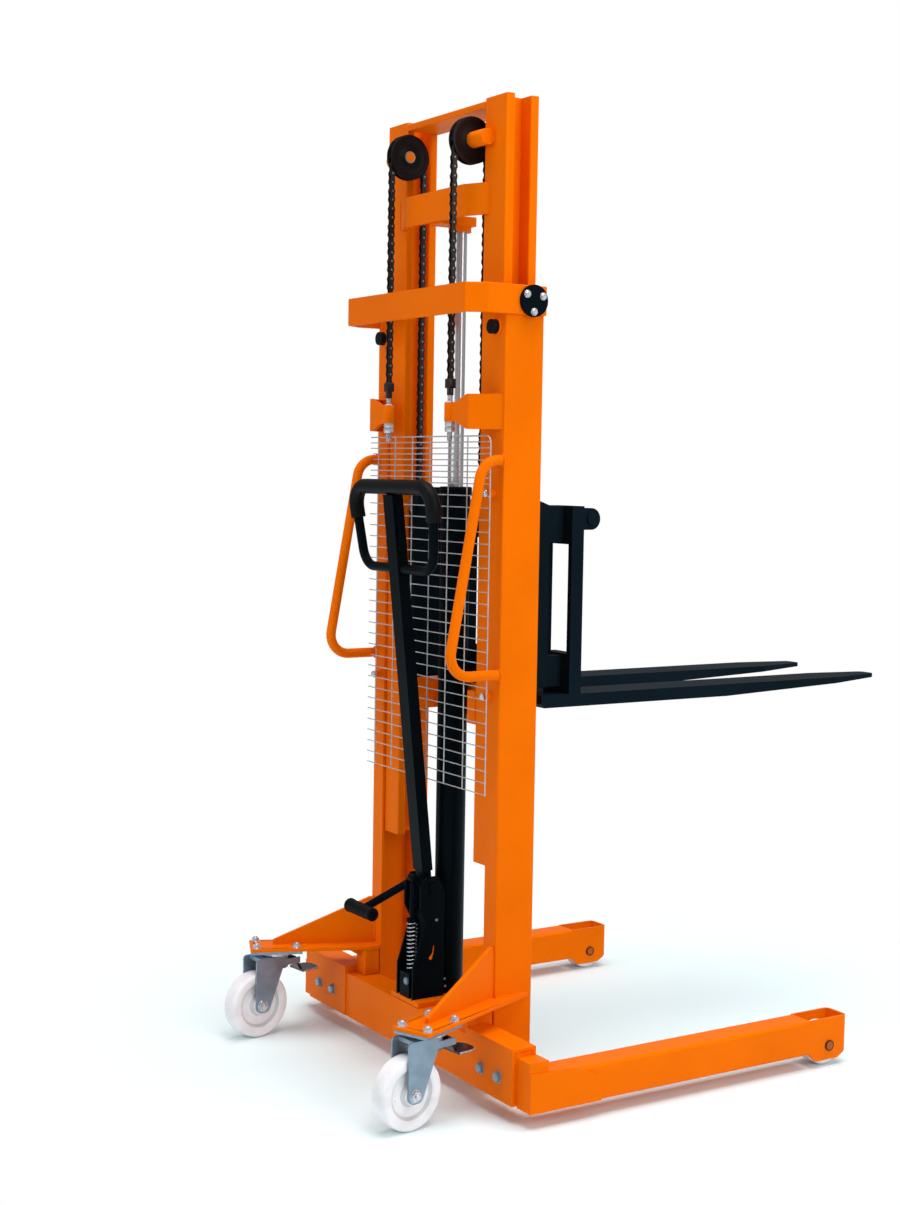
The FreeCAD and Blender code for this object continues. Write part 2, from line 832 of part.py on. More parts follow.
anchor_bush = round_bar("anchor_bush", "z", ("anchor_end_low", "anchor_end_top"),
                        ("pulley_out", "chain_rear_y"),
                        "anchor_bush_radius")
anchor_hole = round_bar("anchor_hole", "z", ("anchor_low", "anchor_low + anchor_height"),
                        ("pulley_out", "chain_rear_y"), "anchor_rod_radius + fit_gap")
anchor_right = cut("chain_anchor_right",
                   join("anchor_welded", anchor_shape, anchor_bush), anchor_hole)
keep(anchor_right, mirror("chain_anchor_left", anchor_right))

anchor_rod = round_bar("anchor_rod", "z", ("anchor_end_low - anchor_rod_tail", "clevis_low"),
                       ("pulley_out", "chain_rear_y"), "anchor_rod_radius")
clevis = block("chain_clevis", ("pulley_out - clevis_width / 2", "pulley_out + clevis_width / 2"),
               ("chain_rear_y - clevis_width / 2", "chain_rear_y + clevis_width / 2"),
               ("clevis_low", "clevis_low + clevis_height"))
anchor_nuts = []
for index in range(2):
    nut = hex_head(f"anchor_nut_{index}", "z", (f"anchor_end_low - anchor_nut_height * {index + 1}",
                                                f"anchor_end_low - anchor_nut_height * {index}"),
                   ("pulley_out", "chain_rear_y"), "anchor_nut_radius")
    nut_hole = round_bar(f"anchor_nut_hole_{index}", "z",
                         ("anchor_end_low - anchor_rod_tail", "anchor_end_low"),
                         ("pulley_out", "chain_rear_y"), "anchor_rod_radius + fit_gap")
    anchor_nuts.append(cut(f"anchor_nut_cut_{index}", nut, nut_hole))
keep(pair("chain_anchor_bolts", group("chain_anchor_bolt_right", join("anchor_stud", anchor_rod,
                                                                      clevis), *anchor_nuts)))


# Welded wire guard: a flat net of wires with free ends on the left, here one sheet with its gaps.
def wire_guard():
    left = -number("mesh_left")
    right = number("mesh_right")
    low = number("mesh_low")
    wire = number("mesh_wire")
    rows = int(number("mesh_rows"))
    columns = int(number("mesh_columns"))
    row_pitch = number("mesh_pitch")
    rear = number("mesh_rear")

    def ring(spots):
        corners = [Vector(x, rear, z) for x, z in spots]
        return Part.makePolygon(corners + corners[:1])

    def free_end(height):
        """End of a row: cut short where a push handle passes."""
        passed = number("handle_radius + mesh_wire")
        if any(abs(height - number(handle)) < passed for handle in ("handle_low", "handle_high")):
            return left - number("mesh_short_end")
        return left - number("mesh_free_end")

    comb = [(right, low + number("mesh_height")), (right, low)]
    for line in range(rows + 1):
        row_low = low + line * row_pitch
        tip = free_end(row_low + wire / 2)
        comb += [(tip, row_low), (tip, row_low + wire)]
        if line < rows:
            comb += [(left, row_low + wire), (left, row_low + row_pitch)]
    wires = [ring(comb)]
    lines = [left + column * number("mesh_column_pitch") for column in range(columns)] + [right - wire]
    for gap_left, gap_right in zip(lines, lines[1:]):
        for line in range(rows):
            gap_low = low + wire + line * row_pitch
            gap_top = gap_low + row_pitch - wire
            wires.append(ring([(gap_left + wire, gap_low), (gap_right, gap_low),
                               (gap_right, gap_top), (gap_left + wire, gap_top)]))
    return Part.makeFace(wires, "Part::FaceMakerBullseye").extrude(Vector(0, wire, 0))


keep(shaped("mesh_guard", wire_guard()))


# Push handles: bent tubes welded to the rear faces of the columns.
def push_handle():
    out = number("handle_out")
    mast = number("mast")
    points = [
        Vector(out, mast, number("handle_high")),
        Vector(out, mast - number("handle_top_reach"), number("handle_high")),
        Vector(out, mast - number("handle_reach"), number("handle_low")),
        Vector(out, mast, number("handle_low")),
    ]
    return tube(bent_path(points, number("handle_bend")), number("handle_radius"))


keep(pair("push_handles", shaped("push_handle_right", push_handle())))

# Base crossbeam: a box tube behind the columns, with a sleeve for a leg at each end.
beam_tube = block("beam_tube", ("0 - beam_half", "beam_half"), ("mast - beam_depth", "mast"),
                  ("beam_low", "beam_top"))
beam_hollow = block("beam_hollow", ("0 - beam_half + beam_wall", "beam_half - beam_wall"),
                    ("mast - beam_depth + beam_wall", "mast - beam_wall"),
                    ("beam_low + beam_wall", "beam_top - beam_wall"))
sleeve_block = block("sleeve_block", ("beam_half - beam_wall", "sleeve_out"),
                     ("sleeve_rear", "sleeve_front"),
                     ("sleeve_low", "sleeve_low + sleeve_height"))
sleeve_bore = block("sleeve_bore", ("beam_half", "sleeve_out + sleeve_wall"),
                    ("sleeve_rear + sleeve_wall", "sleeve_front - sleeve_wall"),
                    ("sleeve_low + sleeve_wall", "sleeve_low + sleeve_height - sleeve_wall"))
leg_bolts = []
leg_bolt_holes = []
for end in ("inner", "outer"):
    bolt_out = f"beam_half + (sleeve_out - beam_half) * leg_bolt_{end}_share"
    head = hex_head(f"leg_bolt_head_{end}", "y", ("sleeve_rear - leg_bolt_head", "sleeve_rear"),
                    (bolt_out, "leg_bolt_height"), "leg_bolt_head_radius")
    shank = round_bar(f"leg_bolt_shank_{end}", "y", ("sleeve_rear", "sleeve_rear + sleeve_wall"),
                      (bolt_out, "leg_bolt_height"), "leg_bolt_radius")
    leg_bolts.append(join(f"leg_bolt_{end}", head, shank))
    leg_bolt_holes.append(round_bar(f"leg_bolt_hole_{end}", "y",
                                    ("sleeve_rear", "sleeve_rear + sleeve_wall"),
                                    (bolt_out, "leg_bolt_height"), "leg_bolt_radius + fit_gap"))
sleeve_right = cut("sleeve_right", sleeve_block, sleeve_bore, *leg_bolt_holes)
keep(join("base_crossbeam", cut("beam_main", beam_tube, beam_hollow), sleeve_right,
          mirror("sleeve_left", sleeve_right)))

# Straddle legs: a stub that slides into the sleeve, a corner block, a box tube and a wheel housing.
leg_stub = block("leg_stub", ("leg_stub_inner", "sleeve_out"),
                 ("sleeve_rear + sleeve_wall + side_gap", "sleeve_front - sleeve_wall - side_gap"),
                 ("sleeve_low + sleeve_wall + side_gap",
                  "sleeve_low + sleeve_height - sleeve_wall - side_gap"))
leg_block = block("leg_block", ("sleeve_out", "leg_outer"), ("mast - leg_tail", "mast - leg_step"),
                  ("leg_block_low", "leg_block_low + leg_block_height"))
leg_tube = plate("leg_tube", "XZ", [
    ("leg_inner", "leg_low"),
    ("leg_outer", "leg_low"),
    ("leg_outer", "leg_low + leg_height"),
    ("leg_inner", "leg_low + leg_height"),
], "mast - leg_step", "mast + housing_front - housing_length / 2", [("leg_round", (0, 1, 2, 3))])
leg_hollow = block("leg_hollow", ("leg_inner + leg_wall", "leg_outer - leg_wall"),
                   ("mast - leg_step + leg_wall", "mast + housing_front - housing_length - leg_wall"),
                   ("leg_low + leg_wall", "leg_low + leg_height - leg_wall"))
leg_side = plate("leg_side", "YZ", [
    ("mast - leg_tail", "leg_block_low"),
    ("mast + leg_plate_front", "leg_block_low"),
    ("mast + leg_plate_front", "leg_plate_front_top"),
    ("mast + leg_plate_front - leg_plate_slope", "leg_plate_top"),
    ("mast - leg_tail", "leg_plate_rear_top"),
], "leg_outer - leg_plate / 4", "base_half")
housing_shell = plate("housing_shell", "XY", [
    ("leg_inner", "mast + housing_front - housing_length"),
    ("leg_outer", "mast + housing_front - housing_length"),
    ("leg_outer", "mast + housing_front"),
    ("leg_inner", "mast + housing_front"),
], "housing_low", "housing_low + housing_height", [("housing_round", (2, 3))])
housing_side = plate("housing_side", "YZ", [
    ("mast + housing_front - housing_length", "leg_low"),
    ("mast + housing_front - housing_length + housing_back_slope", "housing_low"),
    ("mast + housing_front - housing_slope", "housing_low"),
    ("mast + housing_front", "housing_low + housing_slope_rise"),
    ("mast + housing_front", "housing_low + housing_height"),
    ("mast + housing_front - housing_length", "housing_low + housing_height"),
], "leg_inner", "leg_outer")
housing = doc.addObject("Part::Common", "wheel_housing")
housing.Base = housing_shell
housing.Tool = housing_side
wheel_pocket = block("wheel_pocket", ("leg_inner + housing_wall", "leg_outer - housing_wall"),
                     ("mast + housing_front - housing_length", "mast + housing_front - housing_wall"),
                     ("housing_low - leg_wall", "housing_low + housing_height + leg_wall"))
axle_hole = round_bar("front_axle_hole", "x", ("leg_inner - leg_wall", "base_half"),
                      ("front_wheel_y", "front_wheel_radius"), "front_axle_radius + fit_gap")
leg_right = cut("leg_right", join("leg_welded", leg_stub, leg_block, leg_tube, leg_side, housing),
                leg_hollow, wheel_pocket, axle_hole)
keep(leg_right, mirror("leg_left", leg_right))

front_axle = join("front_axle_right",
                  round_bar("front_axle_bar", "x", ("leg_inner", "leg_outer"),
                            ("front_wheel_y", "front_wheel_radius"), "front_axle_radius"),
                  round_bar("front_axle_head_out", "x", ("leg_outer", "leg_outer + front_axle_head"),
                            ("front_wheel_y", "front_wheel_radius"), "front_axle_head_radius"),
                  round_bar("front_axle_head_in", "x", ("leg_inner - front_axle_head", "leg_inner"),
                            ("front_wheel_y", "front_wheel_radius"), "front_axle_head_radius"))
keep(pair("front_axles", front_axle))

front_wheel = turned("front_wheel_right", [
    ("0 - front_wheel_width / 2", "front_axle_radius + running_gap"),
    ("front_wheel_width / 2", "front_axle_radius + running_gap"),
    ("front_wheel_width / 2", "front_wheel_radius - front_wheel_edge"),
    ("front_wheel_width / 2 - front_wheel_edge", "front_wheel_radius"),
    ("0 - front_wheel_width / 2 + front_wheel_edge", "front_wheel_radius"),
    ("0 - front_wheel_width / 2", "front_wheel_radius - front_wheel_edge"),
])
place(front_wheel, "leg_mid", "front_wheel_y", "front_wheel_radius")
keep(front_wheel, mirror("front_wheel_left", front_wheel))

# Caster brackets: a strip of plate from each column to its caster, with a gusset and a rib.
bracket_left_x = "(strip_rear_x - strip_half * strip_cos)"
bracket_left_y = "(strip_rear_y - strip_half * strip_sin)"
bracket_right_x = "(strip_rear_x + strip_half * strip_cos)"
bracket_right_y = "(strip_rear_y + strip_half * strip_sin)"
bracket_plate = plate("bracket_plate", "XY", [
    (bracket_left_x, bracket_left_y),
    (bracket_right_x, bracket_right_y),
    ("column_outer", f"{bracket_right_y} + ({bracket_right_x} - column_outer) * strip_cos / strip_sin"),
    ("column_outer", "mast"),
    ("column_inner", "mast"),
    (f"{bracket_left_x} - (mast - strip_trim - {bracket_left_y}) * strip_sin / strip_cos",
     "mast - strip_trim"),
], "bracket_top - bracket_thick", "bracket_top")
gusset = plate("bracket_gusset", "YZ", [
    ("gusset_start", "bracket_top"),
    ("caster_back / strip_cos + gusset_thick", "bracket_top"),
    ("caster_back / strip_cos + gusset_thick", "bracket_top + gusset_height"),
    ("caster_back / strip_cos - gusset_thick", "bracket_top + gusset_height"),
    ("gusset_start", "bracket_top + gusset_tip"),
], "0", "gusset_thick")
turn(gusset, Vector(0, 0, 1), "strip_angle")
place(gusset, "caster_out - gusset_thick / 2 * strip_cos", "caster_y - gusset_thick / 2 * strip_sin", "0")
rib = plate("bracket_rib", "YZ", [
    ("mast - rib_length", "bracket_top - bracket_thick"),
    ("mast", "bracket_top - bracket_thick - rib_height"),
    ("mast", "bracket_top - bracket_thick"),
], "rib_out - rib_thick / 2", "rib_out + rib_thick / 2")
column_room = block("bracket_column_room", ("0", "column_outer"), ("mast", "column_front"),
                    ("column_foot", "bracket_top + gusset_height * 2"))


def caster_spot(across, along):
    """A place on the caster's top plate, which lies square to the bracket strip."""
    return (f"caster_out + ({across}) * strip_cos - ({along}) * strip_sin",
            f"caster_y + ({across}) * strip_sin + ({along}) * strip_cos")


bolt_spots = [caster_spot(f"caster_bolt_across * {side}", f"caster_bolt_along * {end}")
              for side in (-1, 1) for end in (-1, 1)]
bolt_holes = [round_bar(f"caster_bolt_hole_{index}", "z", ("caster_plate_low", "bracket_top"), spot,
                        "caster_bolt_radius + fit_gap") for index, spot in enumerate(bolt_spots)]
bracket_right = cut("caster_bracket_right", join("bracket_welded", bracket_plate, gusset, rib),
                    column_room, *bolt_holes)
keep(bracket_right, mirror("caster_bracket_left", bracket_right))

# Fixed top plates of the casters, each with its bearing race and king pin.
caster_flange = block("caster_flange", ("0 - caster_plate_half", "caster_plate_half"),
                      ("0 - strip_tail + side_gap", "strip_tail"), ("0", "caster_plate_thick"))
turn(caster_flange, Vector(0, 0, 1), "strip_angle")
place(caster_flange, *caster_spot("0 - caster_plate_half", "0 - strip_tail + side_gap"),
      "caster_plate_low")
caster_race = round_bar("caster_race", "z", ("caster_race_low", "caster_plate_low"),
                        ("caster_out", "caster_y"),
                        "caster_race_radius")
king_pin = round_bar("caster_king_pin", "z", ("caster_head_low", "caster_plate_low"),
                     ("caster_out", "caster_y"),
                     "caster_king_radius")
flange_holes = [round_bar(f"caster_flange_hole_{index}", "z", ("caster_plate_low", "bracket_top"), spot,
                          "caster_bolt_radius + fit_gap") for index, spot in enumerate(bolt_spots)]
keep(pair("caster_plates", cut("caster_plate_right", join("caster_top", caster_flange, caster_race,
                                                          king_pin),
                               *flange_holes)))

caster_bolts = []
for index, spot in enumerate(bolt_spots):
    bolt_shank = round_bar(f"caster_bolt_shank_{index}", "z",
                           ("caster_plate_low", "bracket_top + caster_nut_height"), spot,
                           "caster_bolt_radius")
    bolt_nut = hex_head(f"caster_bolt_nut_{index}", "z",
                        ("bracket_top", "bracket_top + caster_nut_height"), spot,
                        "caster_nut_radius")
    bolt_dome = round_bar(f"caster_bolt_dome_{index}", "z",
                          ("bracket_top", "bracket_top + caster_dome_height"), spot, "caster_dome_radius")
    caster_bolts.append(join(f"caster_bolt_{index}", bolt_shank, bolt_nut, bolt_dome))
keep(pair("base_bolts", group("base_bolts_right", *leg_bolts, *caster_bolts)))


def on_caster(thing, side, x, y, z):
    """Set a piece on a caster: swivelled about the king pin, trailing towards -Y."""
    swing = FreeCAD.Rotation(Vector(0, 0, 1), number("caster_swivel"))
    thing.Placement.Rotation = swing.multiply(thing.Placement.Rotation)
    place(thing, f"{side} * caster_out + ({x}) * cos(caster_swivel) - ({y}) * sin(caster_swivel)",
          f"caster_y + ({x}) * sin(caster_swivel) + ({y}) * cos(caster_swivel)", z)
    return thing


def caster(hand, side):
    """Swivel fork with its axle, wheel and brake lever, on one king pin."""
    head = doc.addObject("Part::Cylinder", f"caster_head_{hand}")
    bind(head, "Radius", "caster_fork_half")
    bind(head, "Height", "caster_head_height")
    on_caster(head, side, "0", "0", "caster_head_low")
    cheek_outline = [
        ("caster_cheek_front", "caster_head_top"),
        ("0 - caster_cheek_rear", "caster_head_top"),
        ("0 - caster_trail - caster_foot", "caster_wheel_radius - caster_foot"),
        ("0 - caster_trail + caster_foot", "caster_wheel_radius - caster_foot"),
        ("caster_cheek_front", "caster_head_top - caster_cheek_drop"),
    ]
    cheek_rounds = [("caster_foot_round", (2, 3)), ("caster_head_height / 2", (0, 1))]
    cheeks = []
    for end, low in (("inner", "0 - caster_fork_half"), ("outer", "caster_fork_half - caster_cheek")):
        cheek = plate(f"caster_cheek_{end}_{hand}", "YZ", cheek_outline, "0", "caster_cheek",
                      cheek_rounds)
        on_caster(cheek, side, low, "0", "0")
        cheeks.append(cheek)
    bridge = doc.addObject("Part::Box", f"caster_bridge_{hand}")
    bind(bridge, "Length", "2 * caster_fork_half - 2 * caster_cheek")
    bind(bridge, "Width", "caster_bridge_rear + caster_cheek_front / 2")
    bind(bridge, "Height", "caster_head_height / 2")
    on_caster(bridge, side, "0 - caster_fork_half + caster_cheek", "0 - caster_bridge_rear",
              "caster_head_low + caster_head_height / 2")
    axle = doc.addObject("Part::Cylinder", f"caster_axle_{hand}")
    axle.Placement.Rotation = FreeCAD.Rotation(Vector(0, 1, 0), 90)
    bind(axle, "Radius", "caster_axle_radius")
    bind(axle, "Height", "2 * caster_fork_half")
    on_caster(axle, side, "0 - caster_fork_half", "0 - caster_trail", "caster_wheel_radius")
    heads = []
    for end, low in (("inner", "0 - caster_fork_half - caster_axle_head"), ("outer", "caster_fork_half")):
        axle_head = doc.addObject("Part::Prism", f"caster_axle_head_{end}_{hand}")
        axle_head.Polygon = 6
        axle_head.Placement.Rotation = FreeCAD.Rotation(Vector(0, 1, 0), 90)
        bind(axle_head, "Circumradius", "caster_axle_head_radius")
        bind(axle_head, "Height", "caster_axle_head")
        on_caster(axle_head, side, low, "0 - caster_trail", "caster_wheel_radius")
        heads.append(axle_head)
    brake_pin = doc.addObject("Part::Cylinder", f"brake_pin_{hand}")
    brake_pin.Placement.Rotation = FreeCAD.Rotation(Vector(0, 1, 0), 90)
    bind(brake_pin, "Radius", "brake_pin_radius")
    bind(brake_pin, "Height", "2 * caster_fork_half")
    on_caster(brake_pin, side, "0 - caster_fork_half", "brake_forward", "caster_head_low")
    shoulder_parts = []
    for skin, radius in (("outside", "caster_fork_half"), ("inside", "caster_fork_half - caster_cheek")):
        drum = doc.addObject("Part::Cylinder", f"caster_shoulder_{skin}_{hand}")
        bind(drum, "Radius", radius)
        bind(drum, "Height", "caster_shoulder")
        on_caster(drum, side, "0", "0", "caster_head_top - caster_shoulder")
        shoulder_parts.append(drum)
    shoulder_room = doc.addObject("Part::Box", f"caster_shoulder_room_{hand}")
    bind(shoulder_room, "Length", "2 * caster_fork_half")
    bind(shoulder_room, "Width", "caster_fork_half")
    bind(shoulder_room, "Height", "caster_shoulder")
    on_caster(shoulder_room, side, "0 - caster_fork_half", "0 - caster_fork_half",
              "caster_head_top - caster_shoulder")
    shoulder = cut(f"caster_shoulder_{hand}", shoulder_parts[0], shoulder_parts[1], shoulder_room)
    brake_ears = []
    for end, low in (("inner", "0 - caster_fork_half"), ("outer", "caster_fork_half - caster_cheek")):
        ear = doc.addObject("Part::Box", f"brake_ear_{end}_{hand}")
        bind(ear, "Length", "caster_cheek")
        bind(ear, "Width", "brake_forward + brake_hub_radius - caster_cheek_front / 2")
        bind(ear, "Height", "brake_hub_radius * 2")
        on_caster(ear, side, low, "caster_cheek_front / 2", "caster_head_low - brake_hub_radius")
        brake_ears.append(ear)
    bore = doc.addObject("Part::Cylinder", f"caster_king_bore_{hand}")
    bind(bore, "Radius", "caster_king_radius + running_gap")
    bind(bore, "Height", "caster_head_height")
    on_caster(bore, side, "0", "0", "caster_head_low")
    fork = cut(f"caster_fork_{hand}",
               join(f"caster_fork_welded_{hand}", head, bridge, shoulder, axle, brake_pin, *cheeks, *heads,
                    *brake_ears), bore)
    wheel = turned(f"caster_wheel_{hand}", [
        ("0 - caster_wheel_width / 2 - caster_cheek_gap / 2", "caster_axle_radius + running_gap"),
        ("caster_wheel_width / 2 + caster_cheek_gap / 2", "caster_axle_radius + running_gap"),
        ("caster_wheel_width / 2 + caster_cheek_gap / 2", "caster_wheel_radius * wheel_hub_share"),
        ("caster_wheel_width / 2 - caster_edge", "caster_wheel_radius * wheel_dish_share"),
        ("caster_wheel_width / 2 - caster_edge", "caster_wheel_radius * wheel_rim_share"),
        ("caster_wheel_width / 2", "caster_wheel_radius * wheel_lip_share"),
        ("caster_wheel_width / 2", "caster_wheel_radius - caster_edge"),
        ("caster_wheel_width / 2 - caster_edge", "caster_wheel_radius"),
        ("0 - caster_wheel_width / 2 + caster_edge", "caster_wheel_radius"),
        ("0 - caster_wheel_width / 2", "caster_wheel_radius - caster_edge"),
        ("0 - caster_wheel_width / 2", "caster_wheel_radius * wheel_lip_share"),
        ("0 - caster_wheel_width / 2 + caster_edge", "caster_wheel_radius * wheel_rim_share"),
        ("0 - caster_wheel_width / 2 + caster_edge", "caster_wheel_radius * wheel_dish_share"),
        ("0 - caster_wheel_width / 2 - caster_cheek_gap / 2", "caster_wheel_radius * wheel_hub_share"),
    ])
    on_caster(wheel, side, "0", "0 - caster_trail", "caster_wheel_radius")
    hub = doc.addObject("Part::Cylinder", f"brake_hub_{hand}")
    hub.Placement.Rotation = FreeCAD.Rotation(Vector(0, 1, 0), 90)
    bind(hub, "Radius", "brake_hub_radius")
    bind(hub, "Height", "2 * brake_hub_half")
    on_caster(hub, side, "0 - brake_hub_half", "brake_forward", "caster_head_low")
    arm = plate(f"brake_arm_{hand}", "YZ", [
        ("0", "0"),
        ("brake_bend", "0 - brake_drop - brake_thick / 2"),
        ("brake_bend + brake_hub_radius", "0 - brake_drop - brake_thick / 2"),
        ("brake_hub_radius", "0"),
    ], "0", "2 * brake_hub_half")
    on_caster(arm, side, "0 - brake_hub_half", "brake_forward", "caster_head_low")
    leaf = plate(f"brake_leaf_{hand}", "XY", [
        ("0 - brake_half", "brake_bend"),
        ("brake_half", "brake_bend"),
        ("brake_half", "brake_reach"),
        ("0 - brake_half", "brake_reach"),
    ], "0", "brake_thick", rounds=[("brake_round", (2, 3))])
    on_caster(leaf, side, "0", "brake_forward", "caster_head_low - brake_drop - brake_thick")
    pin_hole = doc.addObject("Part::Cylinder", f"brake_pin_hole_{hand}")
    pin_hole.Placement.Rotation = FreeCAD.Rotation(Vector(0, 1, 0), 90)
    bind(pin_hole, "Radius", "brake_pin_radius + running_gap")
    bind(pin_hole, "Height", "2 * brake_hub_half")
    on_caster(pin_hole, side, "0 - brake_hub_half", "brake_forward", "caster_head_low")
    brake = cut(f"caster_brake_{hand}", join(f"brake_lever_{hand}", hub, arm, leaf), pin_hole)
    return fork, wheel, brake


keep(*caster("right", 1))
keep(*caster("left", -1))

# Lift cylinder: barrel on the pump's base plate, gland, and a rod with its piston.
barrel = cut("cylinder_barrel",
             round_bar("barrel_outside", "z", ("plate_top", "barrel_top"), ("0", "cylinder_y"),
                       "barrel_radius"),
             round_bar("barrel_bore_hole", "z", ("plate_top + gland_height", "barrel_top"),
                       ("0", "cylinder_y"),
                       "barrel_bore"))
gland = cut("cylinder_gland",
            round_bar("gland_outside", "z", ("barrel_top", "barrel_top + gland_height"),
                      ("0", "cylinder_y"),
                      "gland_radius"),
            round_bar("gland_bore", "z", ("barrel_top", "barrel_top + gland_height"), ("0", "cylinder_y"),
                      "rod_radius + running_gap"))
piston_rod = join("piston_rod",
                  round_bar("rod_bar", "z", ("rod_top - rod_length", "rod_top"), ("0", "cylinder_y"),
                            "rod_radius"),
                  round_bar("rod_piston", "z",
                            ("rod_top - rod_length", "rod_top - rod_length + piston_height"),
                            ("0", "cylinder_y"), "barrel_bore - running_gap"))
keep(barrel, gland, piston_rod)

# Inner mast uprights: I-sections whose outer groove takes the column rollers
# and whose inner groove takes the carriage rollers. A stub axle at the foot is welded in.
upright_outline = [
    ("inner_inner", "inner_rear"),
    ("inner_outer", "inner_rear"),
    ("inner_outer", "inner_rear + inner_flange"),
    ("web_outer", "inner_rear + inner_flange"),
    ("web_outer", "inner_front - inner_flange"),
    ("inner_outer", "inner_front - inner_flange"),
    ("inner_outer", "inner_front"),
    ("inner_inner", "inner_front"),
    ("inner_inner", "inner_front - inner_flange"),
    ("web_inner", "inner_front - inner_flange"),
    ("web_inner", "inner_rear + inner_flange"),
    ("inner_inner", "inner_rear + inner_flange"),
]
upright = plate("upright_section", "XY", upright_outline, "inner_foot", "inner_top",
                [("inner_flange / 5", (0, 1, 2, 5, 6, 7, 8, 11))])
foot_axle = round_bar("foot_axle", "x", ("web_inner",
                                         "inner_outer + roller_shim + foot_roller_width + side_gap"),
                      ("inner_mid", "foot_roller_height"), "stub_radius")
inner_channel_right = join("inner_channel_right", upright, foot_axle)
keep(inner_channel_right, mirror("inner_channel_left", inner_channel_right))
keep(pair("foot_rollers", roller("foot_roller_right", "inner_outer + roller_shim", "foot_roller_width",
                                 "column_depth / 2 - column_wall - side_gap", "stub_radius + running_gap",
                                 "inner_mid", "foot_roller_height")))

# Crossbars of the inner mast; the middle one carries the crosshead that the rod pushes on.
keep(block("inner_top_bar", ("0 - inner_inner", "inner_inner"),
           ("inner_rear", "inner_front"),
           ("inner_top - top_bar_drop - top_bar_height", "inner_top - top_bar_drop")))
mid_half = [
    ("inner_inner + mid_bar_seat", "inner_rear"),
    ("mid_bar_bend", "mast - mid_bar_back"),
]
mid_inside = [
    ("inner_inner", "inner_rear"),
    ("mid_bar_bend - bar_thick / 3", "mast - mid_bar_back + bar_thick"),
]
mid_outline = mid_half + [(f"0 - ({x})", y) for x, y in reversed(mid_half)]
mid_outline += [(f"0 - ({x})", y) for x, y in mid_inside] + list(reversed(mid_inside))
mid_bar = plate("mid_bar", "XY", mid_outline, "mid_bar_low", "mid_bar_low + mid_bar_height")
crosshead = block("crosshead", ("0 - crosshead_half", "crosshead_half"),
                  ("mast - mid_bar_back + bar_thick", "cylinder_y + crosshead_half"),
                  ("rod_top", "rod_top + crosshead_height"))
rod_cap = cut("rod_cap",
              round_bar("rod_cap_outside", "z", ("rod_top - rod_cap_height", "rod_top"),
                        ("0", "cylinder_y"),
                        "rod_cap_radius"),
              round_bar("rod_cap_bore", "z", ("rod_top - rod_cap_height", "rod_top"), ("0", "cylinder_y"),
                        "rod_radius + fit_gap"))
keep(join("inner_mid_bar", mid_bar, crosshead, rod_cap))

low_rear = "inner_rear + low_bar_set"
low_front = "cylinder_y + barrel_radius + low_bar_clear"
low_half = [
    ("inner_inner", f"{low_rear} + bar_thick"),
    ("low_bar_leg", f"{low_rear} + bar_thick"),
    ("low_bar_leg", f"{low_front} + bar_thick"),
]
low_inside = [
    ("inner_inner", low_rear),
    ("low_bar_leg - bar_thick", low_rear),
    ("low_bar_leg - bar_thick", low_front),
]
low_outline = low_half + [(f"0 - ({x})", y) for x, y in reversed(low_half)]
low_outline += [(f"0 - ({x})", y) for x, y in low_inside] + list(reversed(low_inside))
keep(plate("inner_low_bar", "XY", low_outline, "low_bar_low", "low_bar_low + low_bar_height"))

# Pulley shafts welded to the uprights, pulleys, and the chain that wraps each pulley.
shaft_boss = round_bar("pulley_boss", "x", ("pulley_out + pulley_half + side_gap", "pulley_boss_end"),
                       ("pulley_y", "pulley_height"), "pulley_boss_radius")
boss_room = block("pulley_boss_room", ("inner_inner", "inner_outer"), ("inner_rear", "inner_front"),
                  ("pulley_height - 2 * pulley_boss_radius", "pulley_height + 2 * pulley_boss_radius"))
shaft_pin = round_bar("pulley_pin", "x", ("pulley_out - pulley_half - pulley_flange",
                                          "pulley_out + pulley_half + side_gap"),
                      ("pulley_y", "pulley_height"), "pulley_pin_radius")
keep(pair("pulley_shafts", join("pulley_shaft_right", cut("pulley_boss_cut", shaft_boss, boss_room),
                                shaft_pin)))

groove = "pitch_radius - chain_thick / 2 - chain_clear"
pulley = turned("pulley_right", [
    ("0 - pulley_half", "pulley_pin_radius + running_gap"),
    ("pulley_half", "pulley_pin_radius + running_gap"),
    ("pulley_half", "pulley_flange_radius - pulley_flange / 2"),
    ("pulley_half - pulley_flange / 2", "pulley_flange_radius"),
    ("pulley_half - pulley_flange", "pulley_flange_radius"),
    ("pulley_half - pulley_flange", groove),
    ("0 - pulley_half + pulley_flange", groove),
    ("0 - pulley_half + pulley_flange", "pulley_flange_radius"),
    ("0 - pulley_half + pulley_flange / 2", "pulley_flange_radius"),
    ("0 - pulley_half", "pulley_flange_radius - pulley_flange / 2"),
])
place(pulley, "pulley_out", "pulley_y", "pulley_height")
keep(pair("chain_pulleys", pulley))

